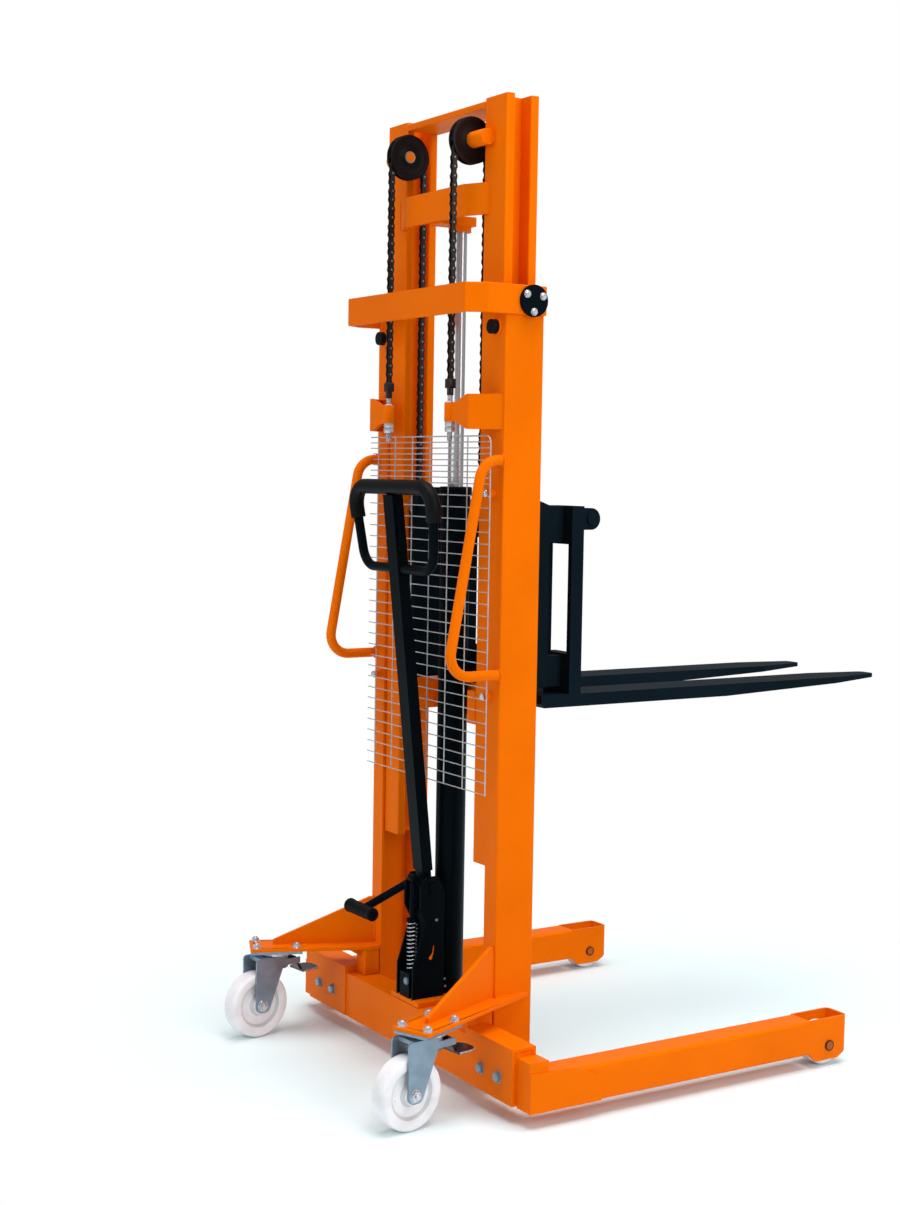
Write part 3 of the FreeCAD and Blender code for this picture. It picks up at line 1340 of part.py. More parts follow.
chain_sides = ("pulley_out - chain_width / 2", "pulley_out + chain_width / 2")
wrap = cut("chain_wrap_right",
           round_bar("wrap_outside", "x", chain_sides, ("pulley_y", "pulley_height"),
                     "pitch_radius + chain_thick / 2"),
           round_bar("wrap_inside", "x", chain_sides, ("pulley_y", "pulley_height"),
                     "pitch_radius - chain_thick / 2"),
           block("wrap_below", chain_sides, ("pulley_y - 2 * pitch_radius",
                                             "pulley_y + 2 * pitch_radius"),
                 ("pulley_height - 2 * pitch_radius", "pulley_height")))
keep(pair("chain_wraps", wrap))
keep(pair("chain_rear_runs", block("chain_rear_run_right", chain_sides,
                                   ("chain_rear_y - chain_thick / 2", "chain_rear_y + chain_thick / 2"),
                                   ("chain_low", "pulley_height"))))
keep(pair("chain_front_runs", block("chain_front_run_right", chain_sides,
                                    ("chain_front_y - chain_thick / 2",
                                     "chain_front_y + chain_thick / 2"),
                                    ("carriage_side_high", "pulley_height"))))

# Carriage: side plates with stub axles and chain lugs, crossbars, and arms for the fork bar.
side_plate = plate("carriage_side_plate", "YZ", [
    ("mast + carriage_side_back", "carriage_side_low + carriage_axle_radius"),
    ("mast + carriage_side_back + carriage_axle_radius", "carriage_side_low"),
    ("mast + carriage_side_front", "carriage_side_low"),
    ("mast + carriage_side_front", "carriage_top_bar_low + carriage_top_bar_height"),
    ("column_front + carriage_axle_radius", "carriage_side_high"),
    ("mast + carriage_side_back", "carriage_side_high"),
], "carriage_side_inner", "carriage_side_outer")
carriage_axles = []
for level in ("low", "high"):
    carriage_axles.append(round_bar(f"carriage_axle_{level}", "x",
                                    ("carriage_side_outer",
                                     "inner_inner + roller_shim + carriage_roller_width + side_gap"),
                                    ("inner_mid", f"carriage_{level}_roller"), "carriage_axle_radius"))
chain_lug = block("carriage_chain_lug", ("carriage_side_inner - lug_width", "carriage_side_inner"),
                  ("chain_front_y - lug_depth / 2", "chain_front_y + lug_depth / 2"),
                  ("lug_low", "carriage_side_high"))
keep(pair("carriage_sides", join("carriage_side_right", side_plate, chain_lug, *carriage_axles)))

carriage_bars = []
for level in ("top", "low"):
    carriage_bars.append(block(f"carriage_{level}_bar",
                               ("0 - carriage_side_outer", "carriage_side_outer"),
                               ("mast + carriage_side_front", "carriage_bar_front"),
                               (f"carriage_{level}_bar_low",
                                f"carriage_{level}_bar_low + carriage_{level}_bar_height")))
arm_outer = "arm_inner + arm_thick"
arm_plate = block("arm_plate", ("arm_inner", arm_outer), ("carriage_bar_front", "fork_bar_y"),
                  ("fork_bar_height - ear_radius", "fork_bar_height + ear_radius"))
arm_end = round_bar("arm_end", "x", ("arm_inner", arm_outer), ("fork_bar_y", "fork_bar_height"),
                    "ear_radius")
arm_hole = round_bar("arm_hole", "x", ("arm_inner", arm_outer), ("fork_bar_y", "fork_bar_height"),
                     "fork_bar_radius + fit_gap")
arm_right = cut("carriage_arm_right", join("arm_welded", arm_plate, arm_end), arm_hole)
keep(group("carriage_bars", *carriage_bars, arm_right, mirror("carriage_arm_left", arm_right)))
keep(round_bar("fork_bar", "x", ("0 - fork_bar_half", "fork_bar_half"), ("fork_bar_y", "fork_bar_height"),
               "fork_bar_radius"))
for level in ("low", "high"):
    keep(pair(f"carriage_{level}_rollers",
              roller(f"carriage_{level}_roller_right", "inner_inner + roller_shim",
                     "carriage_roller_width",
                     "groove_radius - side_gap", "carriage_axle_radius + running_gap",
                     "inner_mid", f"carriage_{level}_roller")))

# Forks: a tapered blade, a shank framed by two uprights, and ears on the round bar.
blade_side = plate("fork_blade_side", "YZ", [
    ("mast + fork_heel_forward", "fork_top - fork_heel_thick + fork_tip_thick"),
    ("mast + fork_heel_forward + fork_tip_thick", "fork_top - fork_heel_thick"),
    ("mast + fork_belly", "fork_top - fork_heel_thick"),
    ("mast + fork_reach", "fork_top - fork_tip_thick"),
    ("mast + fork_reach", "fork_top"),
    ("mast + fork_heel_forward", "fork_top"),
], "fork_inner", "fork_outer")
blade_plan = plate("fork_blade_plan", "XY", [
    ("fork_inner", "mast + fork_heel_forward"),
    ("fork_outer", "mast + fork_heel_forward"),
    ("fork_outer", "mast + fork_reach - fork_taper"),
    ("fork_spacing / 2 + fork_tip_width / 2", "mast + fork_reach"),
    ("fork_spacing / 2 - fork_tip_width / 2", "mast + fork_reach"),
    ("fork_inner", "mast + fork_reach - fork_taper"),
], "fork_top - fork_heel_thick", "fork_top", [("fork_tip_width / 3", (3, 4))])
blade = doc.addObject("Part::Common", "fork_blade")
blade.Base = blade_side
blade.Tool = blade_plan
shank_frame = block("shank_frame", ("fork_inner", "fork_outer"), ("shank_rear", "shank_front"),
                    ("fork_top", "shank_top"))
shank_window = block("shank_window", ("fork_inner + shank_upright", "fork_outer - shank_upright"),
                     ("shank_rear", "shank_front"), ("shank_window_low", "shank_window_high"))
shank_step = block("shank_step", ("fork_inner", "fork_inner + shank_upright"),
                   ("shank_rear + shank_inner_thick", "shank_front"),
                   ("shank_window_low", "shank_window_high"))
shank = cut("fork_shank", shank_frame, shank_window, shank_step)
ears = []
for end, low in (("inner", "fork_inner"), ("outer", "fork_outer - shank_upright")):
    ears.append(block(f"fork_ear_{end}", (low, f"{low} + shank_upright"), ("shank_front", "fork_bar_y"),
                      ("fork_bar_height - ear_radius", "fork_bar_height + ear_radius")))
    ears.append(round_bar(f"fork_ear_round_{end}", "x", (low, f"{low} + shank_upright"),
                          ("fork_bar_y", "fork_bar_height"), "ear_radius"))
ear_hole = round_bar("fork_ear_hole", "x", ("fork_inner", "fork_outer"),
                     ("fork_bar_y", "fork_bar_height"),
                     "fork_bar_radius + running_gap")
fork_right = cut("fork_right", join("fork_welded", blade, shank, *ears), ear_hole)
keep(fork_right, mirror("fork_left", fork_right))

# Pump bracket: a foot plate on the crossbeam with two cheeks that hold the pivot pin.
foot_plate = block("pump_foot_plate", ("0 - pump_plate_half", "pump_plate_half"),
                   ("mast - pump_plate_back", "mast + pump_plate_front"), ("beam_top", "plate_top"))
cheek_outline = [
    ("mast - pump_plate_back", "plate_top"),
    ("mast + cheek_front", "plate_top"),
    ("mast + cheek_front", "cheek_top - cheek_half"),
    ("pivot_y + pedal_hub_radius", "cheek_top"),
    ("pivot_y - pedal_hub_radius", "cheek_top"),
    ("pivot_y - 2 * pedal_hub_radius", "pivot_height"),
    ("pivot_y - 2 * pedal_hub_radius", "pump_top + pedal_hub_radius"),
    ("pivot_y - pedal_hub_radius", "pump_top - pedal_hub_radius"),
    ("mast - pump_plate_back", "pump_lug_top + pedal_hub_radius"),
]
pump_cheek = plate("pump_cheek", "YZ", cheek_outline, "cheek_half - cheek_thick", "cheek_half")
pivot_hole = round_bar("pivot_hole", "x", ("cheek_half - cheek_thick", "cheek_half"),
                       ("pivot_y", "pivot_height"),
                       "pivot_pin_radius + fit_gap")
cheek_right = cut("pump_cheek_right", pump_cheek, pivot_hole)
keep(join("pump_bracket", foot_plate, cheek_right, mirror("pump_cheek_left", cheek_right)))

# Pump: a cast body between the cheeks, with the plunger standing in its rear lug.
pump_casting = block("pump_casting", ("cheek_thick - cheek_half", "cheek_half - cheek_thick"),
                     ("mast - pump_back", "mast + cheek_front"), ("plate_top", "pump_top"))
pump_lug = block("pump_lug", ("0 - pump_lug_half", "pump_lug_half"),
                 ("mast - pump_lug_back", "mast - pump_back"), ("plate_top", "pump_lug_top"))
plunger_bore = round_bar("plunger_bore", "z", ("plunger_pocket", "pump_lug_top"), ("0", "plunger_y"),
                         "plunger_radius + running_gap")
keep(cut("pump_body", join("pump_cast", pump_casting, pump_lug), plunger_bore))
keep(join("pump_plunger",
          round_bar("plunger_rod", "z", ("plunger_foot", "plunger_top"), ("0", "plunger_y"),
                    "plunger_radius"),
          round_bar("plunger_collar_disc", "z", ("collar_low", "collar_low + plunger_collar"),
                    ("0", "plunger_y"),
                    "plunger_collar_radius")))


# Plunger spring: an open coil of round wire between the pump's lug and the plunger's collar.
def coil_spring():
    wire = number("spring_wire")
    radius = number("spring_radius")
    turns = int(number("spring_turns"))
    clear = number("side_gap")
    low = number("pump_lug_top") + wire / 2 + clear
    rise = number("spring_height") - wire - 2 * clear
    centre_y = number("plunger_y")
    slope = rise / (2 * math.pi * turns)

    def spot(angle):
        return Vector(radius * math.cos(angle), centre_y + radius * math.sin(angle), low + slope * angle)

    def way(angle):
        return Vector(-radius * math.sin(angle), radius * math.cos(angle), slope).normalize()

    quarter = math.pi / 2
    arcs = []
    for index in range(4 * turns):
        start = index * quarter
        arcs.extend(biarc(spot(start), way(start), spot(start + quarter), way(start + quarter)))
    least = min((spot(angle * 0.1) - spot(angle * 0.1 + 2 * math.pi + shift * 0.02)).Length
                for angle in range(int(20 * math.pi * (turns - 1)) - 10) for shift in range(-20, 21))
    print(f"plunger spring: least gap between turns {least - wire:.2f} mm")
    return tube(Part.Wire(arcs), wire / 2)


keep(shaped("plunger_spring", coil_spring()))

# Pivot pin shared by the tiller and the foot pedal.
keep(round_bar("pivot_pin", "x", ("0 - pedal_hub_outer - side_gap", "pivot_pin_out"),
               ("pivot_y", "pivot_height"),
               "pivot_pin_radius"))


def on_tiller(thing):
    """Lean a piece drawn upright over the pivot back to where the tiller rests."""
    turn(thing, Vector(1, 0, 0), "tiller_lean")
    place(thing, "0", "pivot_y", "pivot_height")
    return thing


# Tiller: a box-section shaft welded over a boss with the cam nose that works the plunger.
boss = round_bar("tiller_boss", "x", ("0 - tiller_boss_half", "tiller_boss_half"), ("0", "0"),
                 "tiller_boss_radius")
neck = block("tiller_neck", ("shaft_wall - shaft_width / 2", "shaft_width / 2 - shaft_wall"),
             ("shaft_wall - shaft_depth / 2", "shaft_depth / 2 - shaft_wall"), ("0", "neck_top"))
nose = round_bar("tiller_nose", "x", ("0 - nose_half", "nose_half"), ("0 - nose_back", "nose_up"),
                 "nose_radius")
shaft_skin = block("tiller_skin", ("0 - shaft_width / 2", "shaft_width / 2"),
                   ("0 - shaft_depth / 2", "shaft_depth / 2"),
                   ("shaft_low", "loop_high - loop_grip_radius"))
shaft_hollow = block("tiller_hollow", ("shaft_wall - shaft_width / 2", "shaft_width / 2 - shaft_wall"),
                     ("shaft_wall - shaft_depth / 2", "shaft_depth / 2 - shaft_wall"),
                     ("neck_top", "loop_high - loop_grip_radius - shaft_wall"))
pin_bore = round_bar("tiller_pin_bore", "x", ("0 - tiller_boss_half", "tiller_boss_half"), ("0", "0"),
                     "pivot_pin_radius + running_gap")
lever_pin = round_bar("lever_pin", "x", ("shaft_width / 2",
                                         "shaft_width / 2 + lever_thick + roller_shim"),
                      ("0", "lever_rise"), "lever_pin_radius")
keep(on_tiller(cut("tiller_shaft", join("tiller_welded", boss, neck, nose, shaft_skin, lever_pin),
                   shaft_hollow, pin_bore)))


def loop_points():
    return [Vector(side * number(half), 0, number(height)) for side, half, height in (
        (1, "loop_low_half", "loop_low"), (1, "loop_high_half", "loop_high"),
        (-1, "loop_high_half", "loop_high"), (-1, "loop_low_half", "loop_low"))]


# Handle loop of round tube round the shaft's top, and the thick grip over its upper part.
loop_tube = shaped("loop_tube", tube(bent_path(loop_points(), number("loop_bend"), closed=True),
                                     number("loop_tube_radius")))
loop_room = block("loop_shaft_room", ("0 - shaft_width / 2", "shaft_width / 2"),
                  ("0 - shaft_depth / 2", "shaft_depth / 2"),
                  ("shaft_low", "loop_high - loop_grip_radius"))
keep(on_tiller(cut("tiller_loop", loop_tube, loop_room)))


def grip_path():
    corners = loop_points()
    share = (number("loop_grip_low") - number("loop_low")) / (number("loop_high") - number("loop_low"))
    right_end = corners[0] + (corners[1] - corners[0]) * share
    left_end = corners[3] + (corners[2] - corners[3]) * share
    return bent_path([right_end, corners[1], corners[2], left_end], number("loop_bend"))


grip_skin = shaped("grip_skin", tube(grip_path(), number("loop_grip_radius")))
grip_bore = shaped("grip_bore", tube(grip_path(), number("loop_tube_radius + fit_gap")))
keep(on_tiller(cut("tiller_grip", grip_skin, grip_bore)))

# Release lever on the side of the shaft, inside the loop.
lever_inner = "shaft_width / 2 + side_gap"
lever_outer = "shaft_width / 2 + side_gap + lever_thick"
lever_hub = round_bar("lever_hub", "x", (lever_inner, lever_outer), ("0", "lever_rise"),
                      "lever_hub_radius")
lever_blade = block("lever_blade", (lever_inner, lever_outer), ("0 - lever_width / 2", "lever_width / 2"),
                    ("lever_rise", "lever_rise + lever_length"))
lever_hole = round_bar("lever_hole", "x", (lever_inner, lever_outer), ("0", "lever_rise"),
                       "lever_pin_radius + running_gap")
keep(on_tiller(cut("release_lever", join("lever_body", lever_hub, lever_blade), lever_hole)))

# Foot pedal: a hub on the pivot pin, a round arm and a cross rod that carries the rubber grip.
pedal_hub = round_bar("pedal_hub", "x", ("0 - pedal_hub_outer", "0 - cheek_half - pedal_gap"),
                      ("pivot_y", "pivot_height"), "pedal_hub_radius")
pedal_rod = round_bar("pedal_rod", "x", ("0 - pedal_grip_inner - pedal_grip_length",
                                         "0 - pedal_grip_inner"),
                      ("pedal_y", "pedal_height"), "pedal_bar_radius")
pedal_hole = round_bar("pedal_hole", "x", ("0 - pedal_hub_outer", "0 - cheek_half - pedal_gap"),
                       ("pivot_y", "pivot_height"), "pivot_pin_radius + running_gap")


def pedal_arm(radius):
    start = Vector(-number("pedal_hub_outer - pedal_hub_width / 2"), number("pivot_y"),
                   number("pivot_height"))
    end = Vector(-number("pedal_join"), number("pedal_y"), number("pedal_height"))
    start = start + (end - start).normalize() * number("pedal_hub_radius - roller_shim")
    return Part.makeCylinder(radius, (end - start).Length, start, end - start)


arm_bar = shaped("pedal_arm_bar", pedal_arm(number("pedal_bar_radius")))
keep(cut("foot_pedal_arm", join("pedal_welded", pedal_hub, arm_bar, pedal_rod), pedal_hole))

grip_barrel = round_bar("pedal_grip_barrel", "x",
                        ("0 - pedal_grip_inner - pedal_grip_length", "0 - pedal_grip_inner"),
                        ("pedal_y", "pedal_height"), "pedal_grip_radius")
grip_hollow = round_bar("pedal_grip_bore", "x",
                        ("0 - pedal_grip_inner - pedal_grip_length", "0 - pedal_grip_inner"),
                        ("pedal_y", "pedal_height"), "pedal_bar_radius + fit_gap")
grip_arm_hole = shaped("pedal_grip_arm_hole", pedal_arm(number("pedal_bar_radius + fit_gap")))
keep(cut("foot_pedal_grip", grip_barrel, grip_hollow, grip_arm_hole))

# Work everything out, test it, and write one file for each node.
doc.recompute()
faults = [item.Label for item in doc.Objects if "Invalid" in item.State or "Error" in item.State]
for item in nodes:
    if item.Shape.isNull() or not item.Shape.isValid() or not item.Shape.Solids:
        faults.append(item.Label)
if faults:
    raise RuntimeError("pieces that did not come out: " + ", ".join(faults))
os.makedirs("parts", exist_ok=True)
for item in nodes:
    item.Shape.exportStep(os.path.join("parts", item.Label + ".step"))
print(len(nodes), "nodes written")
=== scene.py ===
"""Looks of a hand pallet stacker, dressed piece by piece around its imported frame.

The frame: +X is the operator's right, +Y runs forward along the forks, +Z is up, in metres.
"""
import bmesh
import bpy
import math
from mathutils import Matrix, Vector


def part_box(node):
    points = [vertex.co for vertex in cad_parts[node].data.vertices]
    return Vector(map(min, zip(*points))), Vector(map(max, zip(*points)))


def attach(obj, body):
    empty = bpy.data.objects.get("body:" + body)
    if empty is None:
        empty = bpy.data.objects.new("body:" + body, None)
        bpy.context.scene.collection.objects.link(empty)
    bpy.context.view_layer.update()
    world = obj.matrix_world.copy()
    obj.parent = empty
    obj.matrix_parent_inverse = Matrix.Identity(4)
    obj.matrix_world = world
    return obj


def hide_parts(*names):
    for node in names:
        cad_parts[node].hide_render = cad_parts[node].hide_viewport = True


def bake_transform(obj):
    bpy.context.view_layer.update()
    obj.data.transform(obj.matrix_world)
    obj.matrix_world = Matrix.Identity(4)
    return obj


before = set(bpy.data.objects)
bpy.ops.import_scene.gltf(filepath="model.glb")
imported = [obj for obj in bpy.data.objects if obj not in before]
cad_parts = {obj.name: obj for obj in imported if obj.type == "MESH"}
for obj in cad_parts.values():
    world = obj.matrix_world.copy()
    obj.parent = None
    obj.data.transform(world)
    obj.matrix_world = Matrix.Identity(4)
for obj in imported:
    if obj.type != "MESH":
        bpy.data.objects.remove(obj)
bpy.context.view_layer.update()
scene = bpy.context.scene
scene.view_settings.view_transform = "Standard"

# Studio: a pale seamless floor, soft lamps at the right, at the rear and above, and a camera
# that stands where the photograph was taken from, a little above the machine's waist.
photo_height = 1205
focal_pixels = 1795.9
mast_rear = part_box("push_handles")[1].y
camera_place = Vector((3.3733, mast_rear - 2.0642, 1.3160))
camera_azimuth = math.radians(58.05)
camera_pitch = math.radians(4.17)
camera_roll = math.radians(0.91)
camera_data = bpy.data.cameras.new("studio_camera")
camera_data.sensor_fit = "VERTICAL"
camera_data.sensor_height = 36.0
camera_data.lens = focal_pixels / photo_height * camera_data.sensor_height
camera_data.clip_end = 60.0
camera = bpy.data.objects.new("studio_camera", camera_data)
scene.collection.objects.link(camera)
ahead = Vector((-math.sin(camera_azimuth) * math.cos(camera_pitch),
                math.cos(camera_azimuth) * math.cos(camera_pitch), -math.sin(camera_pitch)))
level = Vector((math.cos(camera_azimuth), math.sin(camera_azimuth), 0))
upward = level.cross(ahead)
across = level * math.cos(camera_roll) + upward * math.sin(camera_roll)
above = upward * math.cos(camera_roll) - level * math.sin(camera_roll)
camera_turn = Matrix((across, above, -ahead)).transposed()
camera.matrix_world = Matrix.Translation(camera_place) @ camera_turn.to_4x4()
scene.camera = camera

white = (1, 1, 1, 1)
ambient = 0.36
world = bpy.data.worlds.new("studio_air")
world.use_nodes = True
scene.world = world
air_nodes = world.node_tree.nodes
air_links = world.node_tree.links
sky = air_nodes["Background"]
sky.inputs["Color"].default_value = white
sky_rays = air_nodes.new("ShaderNodeLightPath")
sky_level = air_nodes.new("ShaderNodeMapRange")
sky_level.inputs["To Min"].default_value = ambient
sky_level.inputs["To Max"].default_value = 1.0
air_links.new(sky_rays.outputs["Is Camera Ray"], sky_level.inputs["Value"])
air_links.new(sky_level.outputs["Result"], sky.inputs["Strength"])

floor_half = 14.0
floor_drop = 0.0005
shadow_reach = 0.7
white_reach = 1.35
floor_corners = [(-floor_half, -floor_half, 0), (floor_half, -floor_half, 0),
                 (floor_half, floor_half, 0), (-floor_half, floor_half, 0)]
floor_mesh = bpy.data.meshes.new("studio_floor")
floor_mesh.from_pydata(floor_corners, [], [(0, 1, 2, 3)])
floor = bpy.data.objects.new("studio_floor", floor_mesh)
scene.collection.objects.link(floor)
floor.location.z = -floor_drop
floor_paper = bpy.data.materials.new("floor_paper")
floor_paper.use_nodes = True
paper_nodes = floor_paper.node_tree.nodes
paper_links = floor_paper.node_tree.links
paper = paper_nodes["Principled BSDF"]
paper.inputs["Base Color"].default_value = (0.81, 0.92, 0.94, 1)
paper.inputs["Roughness"].default_value = 0.9
paper.inputs["Specular IOR Level"].default_value = 0.0
glow = paper_nodes.new("ShaderNodeEmission")
glow.inputs["Color"].default_value = white
spot = paper_nodes.new("ShaderNodeTexCoord")
reach = paper_nodes.new("ShaderNodeVectorMath")
reach.operation = "LENGTH"
paper_links.new(spot.outputs["Object"], reach.inputs[0])
fade = paper_nodes.new("ShaderNodeMapRange")
fade.interpolation_type = "SMOOTHSTEP"
fade.inputs["From Min"].default_value = shadow_reach
fade.inputs["From Max"].default_value = white_reach
paper_links.new(reach.outputs["Value"], fade.inputs["Value"])
seen_rays = paper_nodes.new("ShaderNodeLightPath")
seen = paper_nodes.new("ShaderNodeMath")
seen.operation = "MULTIPLY"
paper_links.new(fade.outputs["Result"], seen.inputs[0])
paper_links.new(seen_rays.outputs["Is Camera Ray"], seen.inputs[1])
blend_paper = paper_nodes.new("ShaderNodeMixShader")
paper_links.new(seen.outputs[0], blend_paper.inputs["Fac"])
paper_links.new(paper.outputs["BSDF"], blend_paper.inputs[1])
paper_links.new(glow.outputs["Emission"], blend_paper.inputs[2])
paper_links.new(blend_paper.outputs["Shader"], paper_nodes["Material Output"].inputs["Surface"])
floor_mesh.materials.append(floor_paper)

lamp_aim = Vector((0, -0.2, 0.9))
for lamp_name, lamp_place, lamp_size, lamp_watts in (
        ("side_softbox", Vector((5.0, 0.6, 3.0)), 3.2, 100),
        ("rear_softbox", Vector((-0.5, -5.0, 2.6)), 3.0, 52),
        ("top_softbox", Vector((0.6, 0.0, 5.6)), 4.2, 300)):
    lamp_data = bpy.data.lights.new(lamp_name, "AREA")
    lamp_data.size = lamp_size
    lamp_data.energy = lamp_watts
    lamp = bpy.data.objects.new(lamp_name, lamp_data)
    scene.collection.objects.link(lamp)
    lamp_turn = (lamp_aim - lamp_place).to_track_quat("-Z", "Y").to_matrix()
    lamp.matrix_world = Matrix.Translation(lamp_place) @ lamp_turn.to_4x4()

# Base: a box crossbeam with a sleeve at each end, and straddle legs that slide into the sleeves.
# Plate and tube are welded, then sprayed with glossy enamel that shows slight orange peel.
edge_angle = math.radians(40)
facet_gap = 0.00001


def finish_node(name, material, edge=0.0):
    """Give a solid its finish and, where it has sharp edges, break them as a grinder and paint do."""
    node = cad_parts[name]
    node.data.materials.clear()
    node.data.materials.append(material)
    if edge:
        weld = node.modifiers.new("joined", "WELD")
        weld.merge_threshold = facet_gap
        bevel = node.modifiers.new("broken_edges", "BEVEL")
        bevel.width = edge
        bevel.segments = 2
        bevel.limit_method = "ANGLE"
        bevel.angle_limit = edge_angle
        bevel.harden_normals = True


class Finish:
    """A finish in the making: a material, its shader's sockets, and the clouds that vary it."""

    def __init__(self, name):
        self.material = bpy.data.materials.new(name)
        self.material.use_nodes = True
        self.nodes = self.material.node_tree.nodes
        self.links = self.material.node_tree.links
        self.sockets = self.nodes["Principled BSDF"].inputs
        self.place = self.nodes.new("ShaderNodeTexCoord").outputs["Object"]

    def cloud(self, scale, detail=2.0, distortion=0.0, drawn=1.0):
        """Soft noise over the piece, drawn out along its height where asked."""
        noise = self.nodes.new("ShaderNodeTexNoise")
        noise.inputs["Scale"].default_value = scale
        noise.inputs["Detail"].default_value = detail
        noise.inputs["Distortion"].default_value = distortion
        draw_out = self.nodes.new("ShaderNodeMapping")
        draw_out.inputs["Scale"].default_value = (1, 1, 1 / drawn)
        self.links.new(self.place, draw_out.inputs["Vector"])
        self.links.new(draw_out.outputs["Vector"], noise.inputs["Vector"])
        return noise.outputs["Fac"]

    def tone(self, cloud, deep, light, deep_until=0.0, light_from=1.0):
        """Colours that pass from deep to light with a cloud."""
        ramp = self.nodes.new("ShaderNodeValToRGB")
        first, last = ramp.color_ramp.elements
        first.position = deep_until
        first.color = (*deep, 1)
        last.position = light_from
        last.color = (*light, 1)
        self.links.new(cloud, ramp.inputs["Fac"])
        return ramp.outputs["Color"]

    def paint(self, colours):
        """Colour the surface."""
        self.links.new(colours, self.sockets["Base Color"])

    def gloss(self, cloud, first, last):
        """Vary the roughness with a cloud."""
        spread = self.nodes.new("ShaderNodeMapRange")
        spread.inputs["To Min"].default_value = first
        spread.inputs["To Max"].default_value = last
        self.links.new(cloud, spread.inputs["Value"])
        self.links.new(spread.outputs["Result"], self.sockets["Roughness"])

    def bumps(self, cloud, strength, height):
        """Raise the surface with a cloud."""
        bump = self.nodes.new("ShaderNodeBump")
        bump.inputs["Strength"].default_value = strength
        bump.inputs["Distance"].default_value = height
        self.links.new(cloud, bump.inputs["Height"])
        self.links.new(bump.outputs["Normal"], self.sockets["Normal"])


def enamel(name, light, deep, roughness, peel, sheen, tint):
    """Sprayed paint: a slow drift of tone, a tinted gloss that varies a little, and orange peel."""
    finish = Finish(name)
    finish.sockets["Specular IOR Level"].default_value = sheen
    finish.sockets["Specular Tint"].default_value = (*tint, 1)
    drift = finish.cloud(scale=4.0, detail=5.0)
    finish.paint(finish.tone(drift, deep, light, deep_until=0.3, light_from=0.62))
    finish.gloss(drift, roughness - 0.06, roughness + 0.08)
    finish.bumps(finish.cloud(scale=260.0), strength=peel, height=0.0008)
    return finish.material


orange = enamel("orange_enamel", light=(0.88, 0.158, 0.001), deep=(0.8, 0.14, 0.0009),
                roughness=0.32, peel=0.12, sheen=0.05, tint=(1.0, 0.4, 0.05))
for node_name in ("base_crossbeam", "leg_right", "leg_left"):
    finish_node(node_name, orange, edge=0.0018)

# Hexagon bolts: zinc-plated steel heads with a chamfered crown on flat washers.
# Two hold each leg in its sleeve, and four domed nuts hold each caster to its bracket.
point_gap = 0.000002
to_rear = (0, -1, 0)
to_top = (0, 0, 1)


def metal(name, colour, roughness, streak, polish=1.0, drawn=1.0, depth=0.72):
    """Plated or turned steel: fine streaks in its gloss and small specks in its tone."""
    finish = Finish(name)
    finish.sockets["Metallic"].default_value = polish
    streaks = finish.cloud(scale=streak, detail=6.0, drawn=drawn)
    deep = [depth * part for part in colour]
    finish.paint(finish.tone(streaks, deep, colour, deep_until=0.3, light_from=0.7))
    finish.gloss(streaks, max(0.05, roughness - 0.1), roughness + 0.12)
    return finish.material


def add_piece(name, builder, material, crease=35.0):
    """Turn built faces into an object with smooth shading up to a crease angle in degrees."""
    mesh = bpy.data.meshes.new(name)
    bmesh.ops.remove_doubles(builder, verts=builder.verts, dist=point_gap)
    bmesh.ops.recalc_face_normals(builder, faces=builder.faces)
    builder.to_mesh(mesh)
    builder.free()
    mesh.polygons.foreach_set("use_smooth", [True] * len(mesh.polygons))
    mesh.set_sharp_from_angle(angle=math.radians(crease))
    mesh.materials.append(material)
    piece = bpy.data.objects.new(name, mesh)
    scene.collection.objects.link(piece)
    return piece


def circle(builder, centre, first_way, second_way, radius, sides):
    """A ring of points round a centre, in the plane of two directions."""
    points = []
    for index in range(sides):
        angle = 2 * math.pi * index / sides
        offset = first_way * (radius * math.cos(angle)) + second_way * (radius * math.sin(angle))
        points.append(builder.verts.new(centre + offset))
    return points


def wall(builder, rings, capped=True):
    """Faces between each ring of points and the next, with a cap on each end."""
    for near, far in zip(rings, rings[1:]):
        for index in range(len(near)):
            following = (index + 1) % len(near)
            builder.faces.new((near[index], near[following], far[following], far[index]))
    if capped:
        builder.faces.new(rings[0])
        builder.faces.new(rings[-1])


def spin(builder, outline, centre, axis, sides=32):
    """Turn an outline of (along, radius) points about an axis, as on a lathe."""
    axis = Vector(axis).normalized()
    first_way = axis.orthogonal().normalized()
    second_way = axis.cross(first_way)
    rings = [circle(builder, Vector(centre) + axis * along, first_way, second_way, radius, sides)
             for along, radius in outline]
    wall(builder, rings, capped=outline[0] != outline[-1])
    return rings


def hexagon(builder, centre, axis, height, corner, start=0.0):
    """A hexagon head with a chamfered crown."""
    crown_start = 0.72
    crown_share = 0.84
    outline = ((start, corner), (start + height * crown_start, corner),
               (start + height, corner * crown_share))
    spin(builder, outline, centre, axis, sides=6)


def washer(builder, centre, axis, radius, thick):
    """A flat ring with a broken edge."""
    edge_start = 0.6
    edge_share = 0.95
    spin(builder, ((0, radius), (thick * edge_start, radius), (thick, radius * edge_share)), centre, axis)


